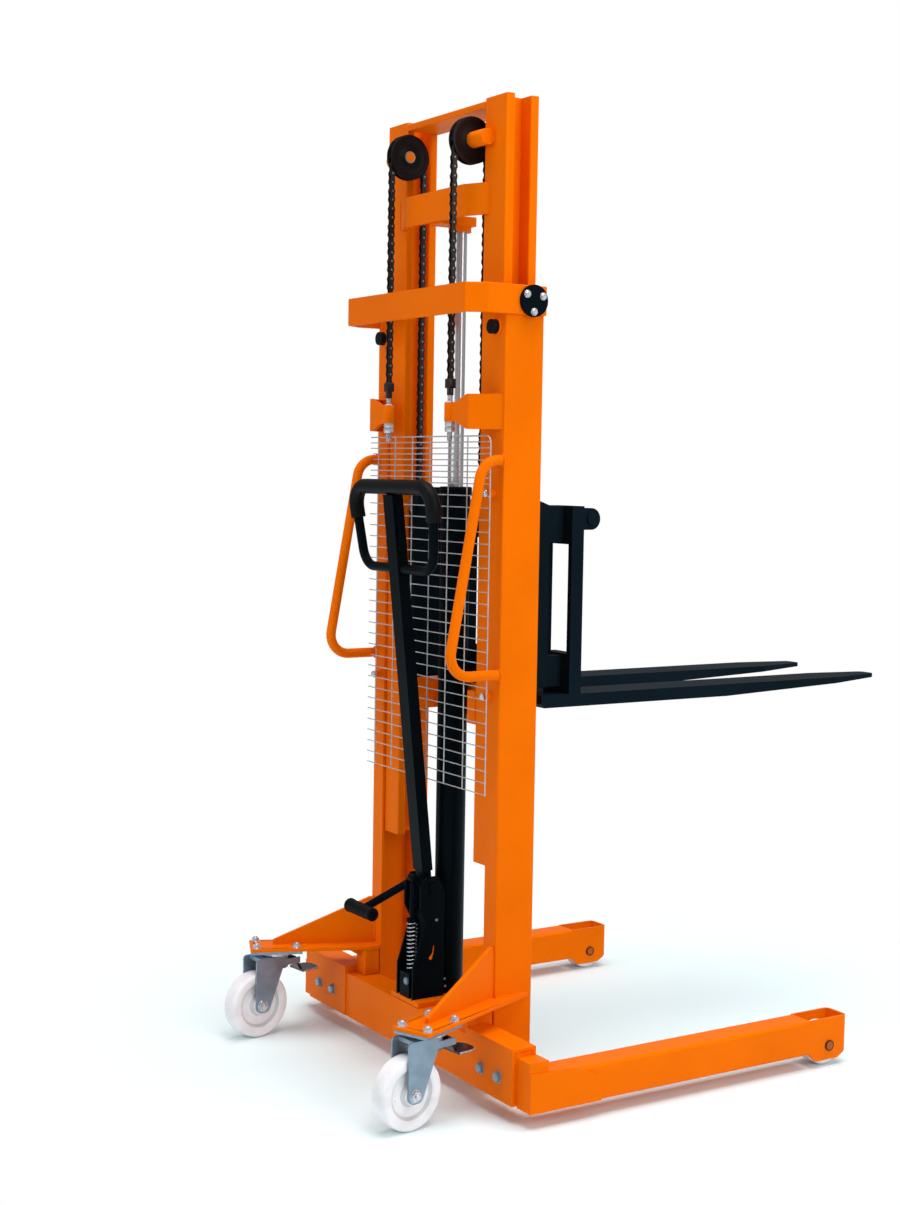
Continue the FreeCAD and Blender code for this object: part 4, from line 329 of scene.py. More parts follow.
bright_steel = metal("bright_plating", (0.68, 0.68, 0.72), roughness=0.26, streak=90.0, polish=0.7)
zinc = metal("zinc_plating", (0.26, 0.36, 0.46), roughness=0.34, streak=30.0, polish=0.55)
washer_thick = 0.0016
leg_bolt_corner = 0.0106
leg_bolt_head = 0.008
leg_bolt_washer = 0.0128
leg_bolt_height = 0.085
leg_bolt_places = (0.3247, 0.3897)
sleeve_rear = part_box("base_crossbeam")[0].y
bolts = bmesh.new()
for side in (-1, 1):
    for out in leg_bolt_places:
        head_place = (side * out, sleeve_rear, leg_bolt_height)
        washer(bolts, head_place, to_rear, leg_bolt_washer, washer_thick)
        hexagon(bolts, head_place, to_rear, leg_bolt_head - washer_thick, leg_bolt_corner, washer_thick)
for face in bolts.faces:
    face.material_index = 1
strip_angle = math.radians(23)
caster_out = 0.345
caster_back = 0.211
caster_y = mast_rear - caster_back
caster_bolt_across = 0.0315
caster_bolt_along = 0.046
caster_washer = 0.0108
caster_nut_height = 0.0072
caster_nut_corner = 0.0092
nut_dome = ((0.0080, 0.0056), (0.0104, 0.0053), (0.0116, 0.0036), (0.0120, 0.0014))
bracket_thick = 0.008
bracket_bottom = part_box("caster_plates")[1].z
bracket_top = bracket_bottom + bracket_thick
for side in (-1, 1):
    for bolt_across in (-caster_bolt_across, caster_bolt_across):
        for bolt_along in (-caster_bolt_along, caster_bolt_along):
            nut_out = caster_out + bolt_across * math.cos(strip_angle) - bolt_along * math.sin(strip_angle)
            nut_y = caster_y + bolt_across * math.sin(strip_angle) + bolt_along * math.cos(strip_angle)
            nut_place = (side * nut_out, nut_y, bracket_top)
            washer(bolts, nut_place, to_top, caster_washer, washer_thick)
            hexagon(bolts, nut_place, to_top, caster_nut_height, caster_nut_corner, washer_thick)
            spin(bolts, nut_dome, nut_place, to_top, sides=16)
base_bolts = add_piece("base_bolt_heads", bolts, bright_steel)
base_bolts.data.materials.append(zinc)
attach(base_bolts, "chassis")
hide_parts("base_bolts")

# Front load wheels: solid white nylon rollers on plain axles in the leg tips.
# The nylon is moulded, with scuffs from the floor on its tread.
milky_deep = (0.78, 0.745, 0.765)
milky_light = (0.87, 0.845, 0.87)
scuff_grey = (0.16, 0.12, 0.12, 1)
# A mix node's colour sockets share their names, so they are picked by number.
mix_share = 0
mix_first = 6
mix_second = 7
mix_result = 2


def nylon(name, shade):
    """Moulded nylon: milky white with a faint cloud and a few small grey scuffs."""
    finish = Finish(name)
    finish.sockets["Specular IOR Level"].default_value = 0.4
    finish.sockets["Subsurface Weight"].default_value = 0.06
    finish.sockets["Subsurface Radius"].default_value = (0.004, 0.0038, 0.0036)
    cloud = finish.cloud(scale=26.0, detail=4.0)
    deep = [part * shade for part in milky_deep]
    light = [part * shade for part in milky_light]
    body = finish.tone(cloud, deep, light, deep_until=0.32, light_from=0.56)
    scuffs = finish.cloud(scale=150.0, detail=3.0, distortion=1.2)
    marks = finish.nodes.new("ShaderNodeMapRange")
    marks.inputs["From Min"].default_value = 0.69
    marks.inputs["From Max"].default_value = 0.76
    marks.inputs["To Max"].default_value = 0.55
    finish.links.new(scuffs, marks.inputs["Value"])
    stain = finish.nodes.new("ShaderNodeMix")
    stain.data_type = "RGBA"
    stain.inputs[mix_second].default_value = scuff_grey
    finish.links.new(marks.outputs["Result"], stain.inputs[mix_share])
    finish.links.new(body, stain.inputs[mix_first])
    finish.paint(stain.outputs[mix_result])
    finish.gloss(cloud, 0.5, 0.34)
    finish.bumps(scuffs, strength=0.12, height=0.0005)
    return finish.material


white_nylon = nylon("moulded_nylon", shade=1.0)
for hand in ("right", "left"):
    finish_node(f"front_wheel_{hand}", white_nylon, edge=0.0015)

# Front axles: dark steel pins with upset heads and a smear of paint on each head; the bare ring round
# each smear is painted shade of the head's groove, and the small dark centre is painted shade of its turned
# centre.
axle_groove_shade_steel = metal("axle_steel_groove_shade", (0.055, 0.03, 0.022), roughness=0.4, streak=60.0, polish=0.6)
smeared_paint = enamel("smeared_paint", light=(0.5, 0.11, 0.012), deep=(0.3, 0.06, 0.008),
                       roughness=0.45, peel=0.2, sheen=0.05, tint=(1.0, 0.5, 0.2))
finish_node("front_axles", axle_groove_shade_steel, edge=0.0008)
# The smear stops short of the head's rim and middle, so the dark steel shows there as painted shade.
axle_head_outline = ((0.0, 0.0089), (0.0003, 0.0082), (0.0004, 0.0034), (0.0001, 0.0024))
axle_low, axle_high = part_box("front_axles")
axle_y = (axle_low.y + axle_high.y) / 2
axle_z = (axle_low.z + axle_high.z) / 2
axle_length = 0.073
axle_heads = bmesh.new()
for side in (-1, 1):
    outer_end = (side * axle_high.x, axle_y, axle_z)
    inner_end = (side * (axle_high.x - axle_length), axle_y, axle_z)
    spin(axle_heads, axle_head_outline, outer_end, (side, 0, 0), sides=40)
    spin(axle_heads, axle_head_outline, inner_end, (-side, 0, 0), sides=40)
axle_paint = add_piece("front_axle_paint", axle_heads, smeared_paint)
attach(axle_paint, "chassis")

# Caster brackets: strips of plate from the columns to the casters, propped by gussets.
# They are welded to the columns and the crossbeam with painted-over beads.
bead_sides = 8
bead_swell = 0.16
bead_crease = 80.0
bead_radius = 0.0026
thick_bead = 0.0028
foot_bead = 0.003


def bead(builder, start, end, radius):
    """A weld bead: a rippled round of metal along a seam."""
    ripple_pitch = 0.003
    ripple_turn = 2.3
    end_share = 0.45
    start = Vector(start)
    run = Vector(end) - start
    way = run.normalized()
    first_way = way.orthogonal().normalized()
    second_way = way.cross(first_way)
    count = max(4, int(run.length / ripple_pitch))
    rings = []
    for step in range(count + 1):
        swell = end_share if step in (0, count) else 1.0 + bead_swell * math.sin(step * ripple_turn)
        spot_at = start + run * (step / count)
        rings.append(circle(builder, spot_at, first_way, second_way, radius * swell, bead_sides))
    wall(builder, rings)


def bead_pair(builder, start, end, radius=bead_radius):
    """A weld bead on the right of the machine and its mirror image on the left."""
    for side in (-1, 1):
        bead(builder, (side * start[0], *start[1:]), (side * end[0], *end[1:]), radius)


for hand in ("right", "left"):
    finish_node(f"caster_bracket_{hand}", orange, edge=0.0014)
base_welds = bmesh.new()
gusset_out = 0.253
gusset_half = 0.006
gusset_seam_y = mast_rear - 0.0005
gusset_seam_low = bracket_top + 0.006
gusset_seam_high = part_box("caster_bracket_right")[1].z - 0.012
for gusset_face in (gusset_out - gusset_half, gusset_out + gusset_half):
    bead_pair(base_welds, (gusset_face, gusset_seam_y, gusset_seam_low),
              (gusset_face, gusset_seam_y, gusset_seam_high), thick_bead)
column_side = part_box("mast_column_right")[1].x + 0.0004
side_seam_start = mast_rear + 0.004
side_seam_end = mast_rear + 0.086
bead_pair(base_welds, (column_side, side_seam_start, bracket_top),
          (column_side, side_seam_end, bracket_top), thick_bead)
column_seam_in = 0.222
column_seam_out = 0.262
rear_seam_y = mast_rear - 0.0006
crossbeam_seam = 0.1382
for seam_height, seam_radius in ((bracket_top, bead_radius), (crossbeam_seam, foot_bead)):
    bead_pair(base_welds, (column_seam_in, rear_seam_y, seam_height),
              (column_seam_out, rear_seam_y, seam_height), seam_radius)
sleeve_edge = 0.2702
sleeve_seam_y = sleeve_rear + 0.0042
sleeve_seam_low = 0.040
sleeve_seam_high = 0.134
bead_pair(base_welds, (sleeve_edge, sleeve_seam_y, sleeve_seam_low),
          (sleeve_edge, sleeve_seam_y, sleeve_seam_high))
plate_edge = 0.4852
plate_corners = ((0.1215, 0.036), (0.1215, 0.080), (0.054, 0.1105), (-0.008, 0.1138))
plate_places = [(plate_edge, mast_rear + ahead_of_mast, height) for ahead_of_mast, height in plate_corners]
for seam_start, seam_end in zip(plate_places, plate_places[1:]):
    bead_pair(base_welds, seam_start, seam_end)
weld_beads = add_piece("base_weld_beads", base_welds, orange, bead_crease)
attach(weld_beads, "chassis")

# Bracket feet: short blocks that prop the strips on the crossbeam, close behind the columns.
# They are cut from flat bar, welded in and painted with the rest.
foot_low = 0.1385
foot_gap = 0.0003
foot_high = bracket_bottom - foot_gap
foot_size = Vector((0.0415, 0.038, foot_high - foot_low))
foot_out = 0.2428
foot_back = 0.021
foot_edge = 0.002
bracket_feet = bmesh.new()
for side in (-1, 1):
    foot_place = Vector((side * foot_out, mast_rear - foot_back, (foot_low + foot_high) / 2))
    foot_form = Matrix.Translation(foot_place) @ Matrix.Diagonal(foot_size).to_4x4()
    bmesh.ops.create_cube(bracket_feet, matrix=foot_form)
bmesh.ops.bevel(bracket_feet, geom=bracket_feet.edges[:], offset=foot_edge, segments=2, profile=0.5,
                affect="EDGES")
feet_piece = add_piece("bracket_feet", bracket_feet, orange)
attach(feet_piece, "chassis")

# Casters: pressed and zinc-plated swivel forks under fixed top plates, with dished nylon wheels
# on bolted axles and a pressed brake leaf in front. A bright bearing rim shows over each fork.
wire_sides = 8
wire_crease = 60.0


def sweep(builder, spots, radius):
    """A round wire along a line of spots."""
    spots = [Vector(each) for each in spots]
    last = len(spots) - 1
    first_way = None
    rings = []
    for index, spot_at in enumerate(spots):
        way = (spots[min(index + 1, last)] - spots[max(index - 1, 0)]).normalized()
        level_way = way.orthogonal() if first_way is None else first_way - way * first_way.dot(way)
        first_way = level_way.normalized()
        rings.append(circle(builder, spot_at, first_way, way.cross(first_way), radius, wire_sides))
    wall(builder, rings)


finish_node("caster_plates", zinc, edge=0.0008)
# A darker copy of the nylon is painted shade: it goes on the steep walls of each wheel's dish, where the
# recess lies in shadow.
dish_shade_nylon = nylon("dish_shade_nylon", shade=0.72)
# The brake leaves are zinc-plated tabs; their near-black colour here is painted shade, for the shadow under
# each leaf and the dark it mirrors.
brake_leaf_shade_steel = metal("brake_leaf_painted_shade", (0.075, 0.062, 0.066), roughness=0.26, streak=30.0)
caster_swivel = math.radians(8)
caster_trail = 0.0545
axle_way = Vector((math.cos(caster_swivel), math.sin(caster_swivel), 0))
trail_way = Vector((math.sin(caster_swivel), -math.cos(caster_swivel), 0))
wheel_height = 0.075
wheel_half = ((0.0235, 0.0072), (0.0235, 0.0190), (0.0226, 0.0208), (0.0150, 0.0236), (0.0128, 0.0262),
              (0.0120, 0.0310), (0.0120, 0.0430), (0.0130, 0.0462), (0.0186, 0.0520), (0.0208, 0.0545),
              (0.0220, 0.0580), (0.0220, 0.0680), (0.0212, 0.0714), (0.0190, 0.0737), (0.0150, 0.0748),
              (0.0080, 0.0750))
wheel_outline = wheel_half + tuple((-along, radius) for along, radius in reversed(wheel_half))
dish_inner = 0.0200
dish_outer = 0.0530
dish_steep = 0.9
cheek_out = 0.029
axle_washer = 0.0142
axle_washer_thick = 0.0018
axle_nut_corner = 0.0127
axle_head = 0.0072
axle_stub = ((axle_head - 0.001, 0.0060), (axle_head + 0.0030, 0.0060), (axle_head + 0.0040, 0.0046))
brake_pin_ahead = 0.043
leaf_reach = 0.0675
leaf_bend = 0.018
leaf_half = 0.0265
leaf_round = 0.020
leaf_wire = 0.0026
leaf_lift = 0.0025
half_rim = [(leaf_half, leaf_bend), (leaf_half, leaf_reach - leaf_round)]
for degrees in range(10, 91, 10):
    angle = math.radians(degrees)
    half_rim.append((leaf_half - leaf_round + leaf_round * math.cos(angle),
                     leaf_reach - leaf_round + leaf_round * math.sin(angle)))
leaf_rim = half_rim + [(-out, along) for out, along in reversed(half_rim)]
race_drop = 0.013
race_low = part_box("caster_plates")[1].z - race_drop
race_outline = ((0.0, 0.0330), (0.0, 0.0362), (0.0008, 0.0372), (0.0055, 0.0372), (0.0063, 0.0362),
                (0.0063, 0.0330), (0.0, 0.0330))
rims = bmesh.new()
for hand, side in (("right", 1), ("left", -1)):
    king = Vector((side * caster_out, caster_y, 0))
    wheel_centre = king + trail_way * caster_trail + Vector((0, 0, wheel_height))
    finish_node(f"caster_fork_{hand}", zinc, edge=0.0012)
    # Each brake leaf takes the near-black steel as painted shade.
    finish_node(f"caster_brake_{hand}", brake_leaf_shade_steel, edge=0.0012)
    wheel = bmesh.new()
    spin(wheel, wheel_outline + wheel_outline[:1], wheel_centre, axle_way, sides=72)
    wheel.normal_update()
    # The steep faces of the dish walls take the darker nylon, as painted shade in the recess.
    for face in wheel.faces:
        spoke = face.calc_center_median() - wheel_centre
        face_radius = (spoke - axle_way * spoke.dot(axle_way)).length
        steep = abs(face.normal.dot(axle_way)) < dish_steep
        if dish_inner < face_radius < dish_outer and steep:
            face.material_index = 1
    wheel_piece = add_piece(f"caster_wheel_disc_{hand}", wheel, white_nylon, crease=50.0)
    wheel_piece.data.materials.append(dish_shade_nylon)
    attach(wheel_piece, f"{hand}_caster_wheel")
    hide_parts(f"caster_wheel_{hand}")
    nuts = bmesh.new()
    for end_way in (-axle_way, axle_way):
        axle_end = wheel_centre + end_way * cheek_out
        washer(nuts, axle_end, end_way, axle_washer, axle_washer_thick)
        hexagon(nuts, axle_end, end_way, axle_head - axle_washer_thick, axle_nut_corner, axle_washer_thick)
        spin(nuts, axle_stub, axle_end, end_way, sides=20)
    nut_piece = add_piece(f"caster_axle_nuts_{hand}", nuts, bright_steel)
    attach(nut_piece, f"{hand}_caster")
    leaf_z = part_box(f"caster_brake_{hand}")[0].z + leaf_lift
    leaf_place = king - trail_way * brake_pin_ahead + Vector((0, 0, leaf_z))
    lip = bmesh.new()
    sweep(lip, [leaf_place + axle_way * out - trail_way * along for out, along in leaf_rim], leaf_wire)
    lip_piece = add_piece(f"caster_brake_lip_{hand}", lip, bright_steel, wire_crease)
    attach(lip_piece, f"{hand}_caster_brake")
    spin(rims, race_outline, king + Vector((0, 0, race_low)), to_top, sides=48)
race_rims = add_piece("caster_race_rims", rims, bright_steel)
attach(race_rims, "chassis")

# Outer mast: two channel columns, the strap bent round behind their tops, and the chain anchors.
# All are plate, welded together; the strap and anchors are hot-bent with soft edges.
for node_name in ("mast_column_right", "mast_column_left", "chain_anchor_right", "chain_anchor_left"):
    finish_node(node_name, orange, edge=0.0014)
finish_node("mast_top_strap", orange, edge=0.0022)
anchor_low, anchor_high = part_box("chain_anchor_right")
anchor_seam_out = 0.250
anchor_seam_y = mast_rear - 0.0004
anchor_seam_set = 0.004
anchor_side = anchor_high.x - anchor_seam_set
mast_welds = bmesh.new()
for seam_height in (anchor_low.z, anchor_high.z):
    bead_pair(mast_welds, (column_seam_in, anchor_seam_y, seam_height),
              (anchor_seam_out, anchor_seam_y, seam_height))
bead_pair(mast_welds, (anchor_side, rear_seam_y, anchor_low.z + anchor_seam_set),
          (anchor_side, rear_seam_y, anchor_high.z - anchor_seam_set))
mast_beads = add_piece("mast_weld_beads", mast_welds, orange, bead_crease)
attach(mast_beads, "chassis")

# Roller caps: black discs on the column tops, each held by three hexagon screws on washers.
# The guide rollers that they carry run inside the inner uprights.
black = enamel("black_enamel", light=(0.0022, 0.0042, 0.0062), deep=(0.0012, 0.0028, 0.0044),
               roughness=0.36, peel=0.1, sheen=0.04, tint=(0.4, 0.8, 1.0))
finish_node("roller_caps", black, edge=0.0016)
finish_node("mast_rollers", bright_steel, edge=0.001)
cap_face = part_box("roller_caps")[1].x
cap_y = mast_rear + 0.060
cap_z = 1.671
cap_screw_circle = 0.023
cap_screw_turn = math.radians(26)
cap_screw_head = 0.0036
cap_screw_corner = 0.0068
cap_washer = 0.0082
cap_washer_thick = 0.0014
screws = bmesh.new()
for side in (-1, 1):
    for step in range(3):
        angle = cap_screw_turn + step * 2 * math.pi / 3
        screw_place = (side * cap_face, cap_y + cap_screw_circle * math.cos(angle),
                       cap_z + cap_screw_circle * math.sin(angle))
        washer(screws, screw_place, (side, 0, 0), cap_washer, cap_washer_thick)
        hexagon(screws, screw_place, (side, 0, 0), cap_screw_head, cap_screw_corner, cap_washer_thick)

# Guard screws: bright dome heads that clamp the wire guard to lugs on the columns.
# Their plated necks pass between the wires, two on each side.
guard_low, guard_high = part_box("mesh_guard")
guard_rows = 30
guard_wire = 0.003
row_pitch = (guard_high.z - guard_low.z - guard_wire) / guard_rows
guard_screw_out = 0.231
guard_screw_rows = (8, 25)
guard_screw_rise = 0.0071
screw_neck = ((-0.003, 0.004), (0.0, 0.004))
screw_dome = ((0.0, 0.0078), (0.0012, 0.0080), (0.0032, 0.0068), (0.0050, 0.0044), (0.0058, 0.0018))
for side in (-1, 1):
    for row in guard_screw_rows:
        screw_place = (side * guard_screw_out, guard_low.y, guard_low.z + row_pitch * row + guard_screw_rise)
        spin(screws, screw_neck, screw_place, to_rear, sides=16)
        spin(screws, screw_dome, screw_place, to_rear, sides=24)
screw_piece = add_piece("mast_screw_heads", screws, bright_steel)
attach(screw_piece, "chassis")
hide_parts("mast_screws")

# Rubber buffers: short black mouldings behind the columns.
# Each is held on a boss that is welded to its column.


def rubber(name, light, deep, roughness, grain):
    """Moulded rubber: near black, with a fine grain and dusty dull patches."""
    finish = Finish(name)
    finish.sockets["Specular IOR Level"].default_value = 0.1
    dust = finish.cloud(scale=25.0, detail=6.0)
    finish.paint(finish.tone(dust, deep, light))
    finish.gloss(dust, roughness - 0.08, roughness + 0.12)
    finish.bumps(finish.cloud(scale=grain), strength=0.2, height=0.0004)
    return finish.material


black_rubber = rubber("black_rubber", light=(0.00374, 0.00408, 0.00459), deep=(0.0017, 0.00204, 0.00238),
                      roughness=0.46, grain=900.0)
finish_node("rubber_buffers", black_rubber, edge=0.003)

# Push handles: round tube bent and welded to the backs of the columns.
# A ring of weld closes each end.


def ring_bead(builder, centre, axis, ring_radius, radius):
    """A weld bead laid round the end of a bar."""
    count = 36
    ripple_turn = 2 * math.pi / 3
    axis = Vector(axis)
    first_way = axis.orthogonal().normalized()
    second_way = axis.cross(first_way)
    rings = []
    for step in range(count):
        angle = 2 * math.pi * step / count
        outward = first_way * math.cos(angle) + second_way * math.sin(angle)
        swell = radius * (1.0 + bead_swell * math.sin(step * ripple_turn))
        spot_at = Vector(centre) + outward * ring_radius
        rings.append(circle(builder, spot_at, outward, axis, swell, bead_sides))
    wall(builder, rings[-1:] + rings, capped=False)


finish_node("push_handles", orange)
handle_radius = 0.011
handle_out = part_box("push_handles")[1].x - handle_radius
handle_ends = (0.893, 1.341)
handle_seam = handle_radius + 0.0008
handle_seam_y = mast_rear - 0.001
handle_welds = bmesh.new()
for side in (-1, 1):
    for height in handle_ends:
        ring_bead(handle_welds, (side * handle_out, handle_seam_y, height), to_rear, handle_seam, bead_radius)
handle_beads = add_piece("handle_weld_beads", handle_welds, orange, bead_crease)
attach(handle_beads, "chassis")

# Wire guard: galvanised wires welded where they cross, with a border on the right and the top
# and free wire ends on the left. The rows lie close together near the top.
wire_steel = metal("galvanised_wire", (0.6, 0.61, 0.62), roughness=0.34, streak=60.0, polish=0.55)
row_radius = 0.0012
upright_radius = 0.0014
border_radius = 0.0015
border_bend = 0.016
border_steps = 6
guard_y = (guard_low.y + guard_high.y) / 2
row_y = guard_y - 0.0006
upright_y = guard_y + 0.0006
border_x = guard_high.x - guard_wire / 2
border_top = guard_high.z - guard_wire / 2
tip_x = guard_low.x
short_tip_x = tip_x + 0.011
upright_count = 6
upright_pitch = 0.076
first_upright = tip_x + 0.032 + guard_wire / 2
upright_top = guard_high.z - 0.001
dense_rows = 4
first_row = guard_low.z + guard_wire / 2
row_steps = list(range(guard_rows)) + [guard_rows - 0.5 - row for row in range(dense_rows)]
guard = bmesh.new()
for step in row_steps:
    height = first_row + row_pitch * step
    passes_handle = any(abs(height - handle_end) < handle_radius + guard_wire for handle_end in handle_ends)
    row_tip = short_tip_x if passes_handle else tip_x
    sweep(guard, ((row_tip, row_y, height), (border_x, row_y, height)), row_radius)
for step in range(upright_count):
    upright_x = first_upright + upright_pitch * step
    sweep(guard, ((upright_x, upright_y, guard_low.z), (upright_x, upright_y, upright_top)), upright_radius)
border = [(tip_x, guard_y, border_top)]
for step in range(border_steps + 1):
    angle = math.pi / 2 * step / border_steps
    border.append((border_x - border_bend + border_bend * math.sin(angle), guard_y,
                   border_top - border_bend + border_bend * math.cos(angle)))
border.append((border_x, guard_y, guard_low.z))
sweep(guard, border, border_radius)
guard_net = add_piece("wire_guard_net", guard, wire_steel, wire_crease)
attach(guard_net, "chassis")
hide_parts("mesh_guard")

# Inner mast: rolled I-section uprights joined by bars, with rollers at their feet.
# The bars are welded in with vertical beads at their ends.
for node_name in ("inner_channel_right", "inner_channel_left", "inner_top_bar", "inner_low_bar"):
    finish_node(node_name, orange, edge=0.0016)
finish_node("inner_mid_bar", orange, edge=0.0024)
finish_node("foot_rollers", bright_steel, edge=0.001)
mid_bar_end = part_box("inner_mid_bar")[1]
mid_bar_seam = 0.064
low_bar_low, low_bar_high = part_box("inner_low_bar")
low_bar_side = low_bar_high.x + 0.0004
bar_seam_set = 0.002
bar_seam_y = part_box("inner_channel_right")[0].y - 0.0006
inner_welds = bmesh.new()
bead_pair(inner_welds, (mid_bar_end.x, bar_seam_y, mid_bar_end.z - mid_bar_seam),
          (mid_bar_end.x, bar_seam_y, mid_bar_end.z - bar_seam_set))
bead_pair(inner_welds, (low_bar_side, bar_seam_y, low_bar_low.z + bar_seam_set),
          (low_bar_side, bar_seam_y, low_bar_high.z - bar_seam_set))
inner_beads = add_piece("inner_weld_beads", inner_welds, orange, bead_crease)
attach(inner_beads, "inner_mast")

# Lift cylinder: a steel barrel closed by a gland nut, both painted black,
# and a ground, hard-chromed rod that carries the inner mast.
finish_node("cylinder_barrel", black, edge=0.001)
finish_node("cylinder_gland", black, edge=0.003)
chrome = metal("rod_chrome", (0.84, 0.86, 0.9), roughness=0.12, streak=55.0, polish=0.6,
               drawn=60.0, depth=0.3)
finish_node("piston_rod", chrome)

# Chain pulleys: black turned wheels with dished faces, on pins welded to the uprights.
# The pin shows in the middle as a coppery end in a worn steel ring.
oiled_iron = enamel("oiled_iron", light=(0.0075, 0.0062, 0.006), deep=(0.0035, 0.003, 0.003),
                    roughness=0.36, peel=0.25, sheen=0.12, tint=(1.0, 0.8, 0.8))
pin_steel = metal("worn_pins", (0.3, 0.29, 0.28), roughness=0.3, streak=60.0)
copper = metal("pin_copper", (0.55, 0.3, 0.18), roughness=0.3, streak=60.0)
pulley_low, pulley_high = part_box("chain_pulleys")
pulley_y = (pulley_low.y + pulley_high.y) / 2
pulley_z = (pulley_low.z + pulley_high.z) / 2
pulley_out = 0.1297
pulley_half = ((0.0095, 0.0103), (0.0095, 0.0185), (0.0083, 0.0205), (0.0083, 0.0385), (0.0095, 0.0410),
               (0.0095, 0.0480), (0.0088, 0.0494), (0.0074, 0.0494), (0.0068, 0.0480), (0.0064, 0.0345))
pulley_outline = pulley_half + tuple((-along, radius) for along, radius in reversed(pulley_half))
pin_end_out = pulley_out - 0.0096
pin_end_outline = ((0.0002, 0.0104), (0.0016, 0.0098), (0.0022, 0.0080), (0.0022, 0.0030), (0.0010, 0.0022))
pin_ring_outline = ((0.0, 0.0103), (0.0, 0.0130), (0.0009, 0.0126), (0.0009, 0.0106), (0.0, 0.0103))
pulleys = bmesh.new()
pin_rings = bmesh.new()
for side in (-1, 1):
    pulley_centre = (side * pulley_out, pulley_y, pulley_z)
    spin(pulleys, pulley_outline + pulley_outline[:1], pulley_centre, (side, 0, 0), sides=64)
    pin_end = (side * pin_end_out, pulley_y, pulley_z)
    spin(pin_rings, pin_ring_outline, pin_end, (-side, 0, 0), sides=40)
    for ring in spin(pin_rings, pin_end_outline, pin_end, (-side, 0, 0), sides=32):
        for vert in ring:
            for face in vert.link_faces:
                face.material_index = 1
pulley_piece = add_piece("chain_pulley_wheels", pulleys, oiled_iron)
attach(pulley_piece, "pulleys")
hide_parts("chain_pulleys")
pin_ring_piece = add_piece("pulley_pin_rings", pin_rings, pin_steel)
pin_ring_piece.data.materials.append(copper)
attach(pin_ring_piece, "inner_mast")
finish_node("pulley_shafts", orange, edge=0.0012)

# Lift chains: oiled roller chain from the anchors over the pulleys to the carriage.
# Links alternate narrow and wide, each with waisted plates on bright-ended pins.
chain_steel = enamel("oiled_chain", light=(0.011, 0.0095, 0.009), deep=(0.004, 0.0035, 0.0035),
                     roughness=0.33, peel=0.2, sheen=0.3, tint=(1.0, 0.95, 0.9))
chain_pitch = 0.01905
plate_round = 0.0062
plate_waist = 0.0043
plate_thick = 0.0017
inner_set = 0.0034
outer_set = 0.0053
pin_way = Vector((1, 0, 0))
pin_reach = 0.0064
pin_edge = 0.0004
pin_bright = 0.001
pin_outline = ((-pin_reach, 0.0018), (pin_edge - pin_reach, 0.0025), (pin_reach - pin_edge, 0.0025),
               (pin_reach, 0.0018))
roller_outline = ((-0.0026, 0.0045), (0.0026, 0.0045))


def link(builder, start, end, wide):
    """One link: two waisted plates, on pins where it is wide and on rollers where it is narrow."""
    start = Vector(start)
    end = Vector(end)
    along = (end - start).normalized()
    across_link = pin_way.cross(along)
    half = (end - start).length / 2
    middle = (start + end) / 2
    outline = []
    for sign in (1, -1):
        for degrees in range(-99, 100, 33):
            angle = math.radians(degrees)
            outline.append((sign * (half + plate_round * math.cos(angle)),
                            sign * plate_round * math.sin(angle)))
        outline.append((0.0, sign * plate_waist))
    spots = [middle + along * far + across_link * aside for far, aside in outline]
    for sign in (1, -1):
        plate_set = sign * (outer_set if wide else inner_set)
        faces_at = (plate_set - plate_thick / 2, plate_set + plate_thick / 2)
        layers = [[builder.verts.new(spot_at + pin_way * depth) for spot_at in spots] for depth in faces_at]
        wall(builder, layers)
    for spot_at in (start, end):
        if not wide:
            spin(builder, roller_outline, spot_at, pin_way, sides=12)
            continue
        rings = spin(builder, pin_outline, spot_at, pin_way, sides=10)
        for face in {face for ring in (rings[0], rings[-1]) for vert in ring for face in vert.link_faces}:
            if all(abs((vert.co - spot_at).dot(pin_way)) > pin_reach - pin_bright for vert in face.verts):
                face.material_index = 1


def chain_run(builder, spots, first_wide):
    """Links along a line of pin places."""
    for index in range(len(spots) - 1):
        link(builder, spots[index], spots[index + 1], (index % 2 == 0) == first_wide)


rear_low, rear_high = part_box("chain_rear_runs")
front_low, front_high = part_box("chain_front_runs")
rear_y = (rear_low.y + rear_high.y) / 2
front_y = (front_low.y + front_high.y) / 2
rear_length = rear_high.z - rear_low.z
front_length = front_high.z - front_low.z
rear_count = 2 * round(rear_length / chain_pitch / 2)
front_count = 2 * round(front_length / chain_pitch / 2)
wrap_radius = (front_y - rear_y) / 2
wrap_count = 7
rear_links = bmesh.new()
wrap_links = bmesh.new()
front_links = bmesh.new()
for side in (-1, 1):
    chain_x = side * pulley_out
    rear_spots = [(chain_x, rear_y, rear_low.z + rear_length * step / rear_count)
                  for step in range(rear_count + 1)]
    chain_run(rear_links, rear_spots, first_wide=False)
    wrap_spots = [(chain_x, pulley_y - wrap_radius * math.cos(math.pi * step / wrap_count),
                   pulley_z + wrap_radius * math.sin(math.pi * step / wrap_count))
                  for step in range(wrap_count + 1)]
    chain_run(wrap_links, wrap_spots, first_wide=False)
    front_spots = [(chain_x, front_y, front_high.z - front_length * step / front_count)
                   for step in range(front_count + 1)]
    chain_run(front_links, front_spots, first_wide=True)
rear_chain = add_piece("chain_links_rear", rear_links, chain_steel)
wrap_chain = add_piece("chain_links_wrap", wrap_links, chain_steel)
front_chain = add_piece("chain_links_front", front_links, chain_steel)
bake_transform(rear_chain)
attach(wrap_chain, "inner_mast")
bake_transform(front_chain)
for chain, node_name in ((rear_chain, "chain_rear_runs"), (wrap_chain, "chain_wraps"),
                         (front_chain, "chain_front_runs")):
    chain.data.materials.append(pin_steel)
    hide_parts(node_name)

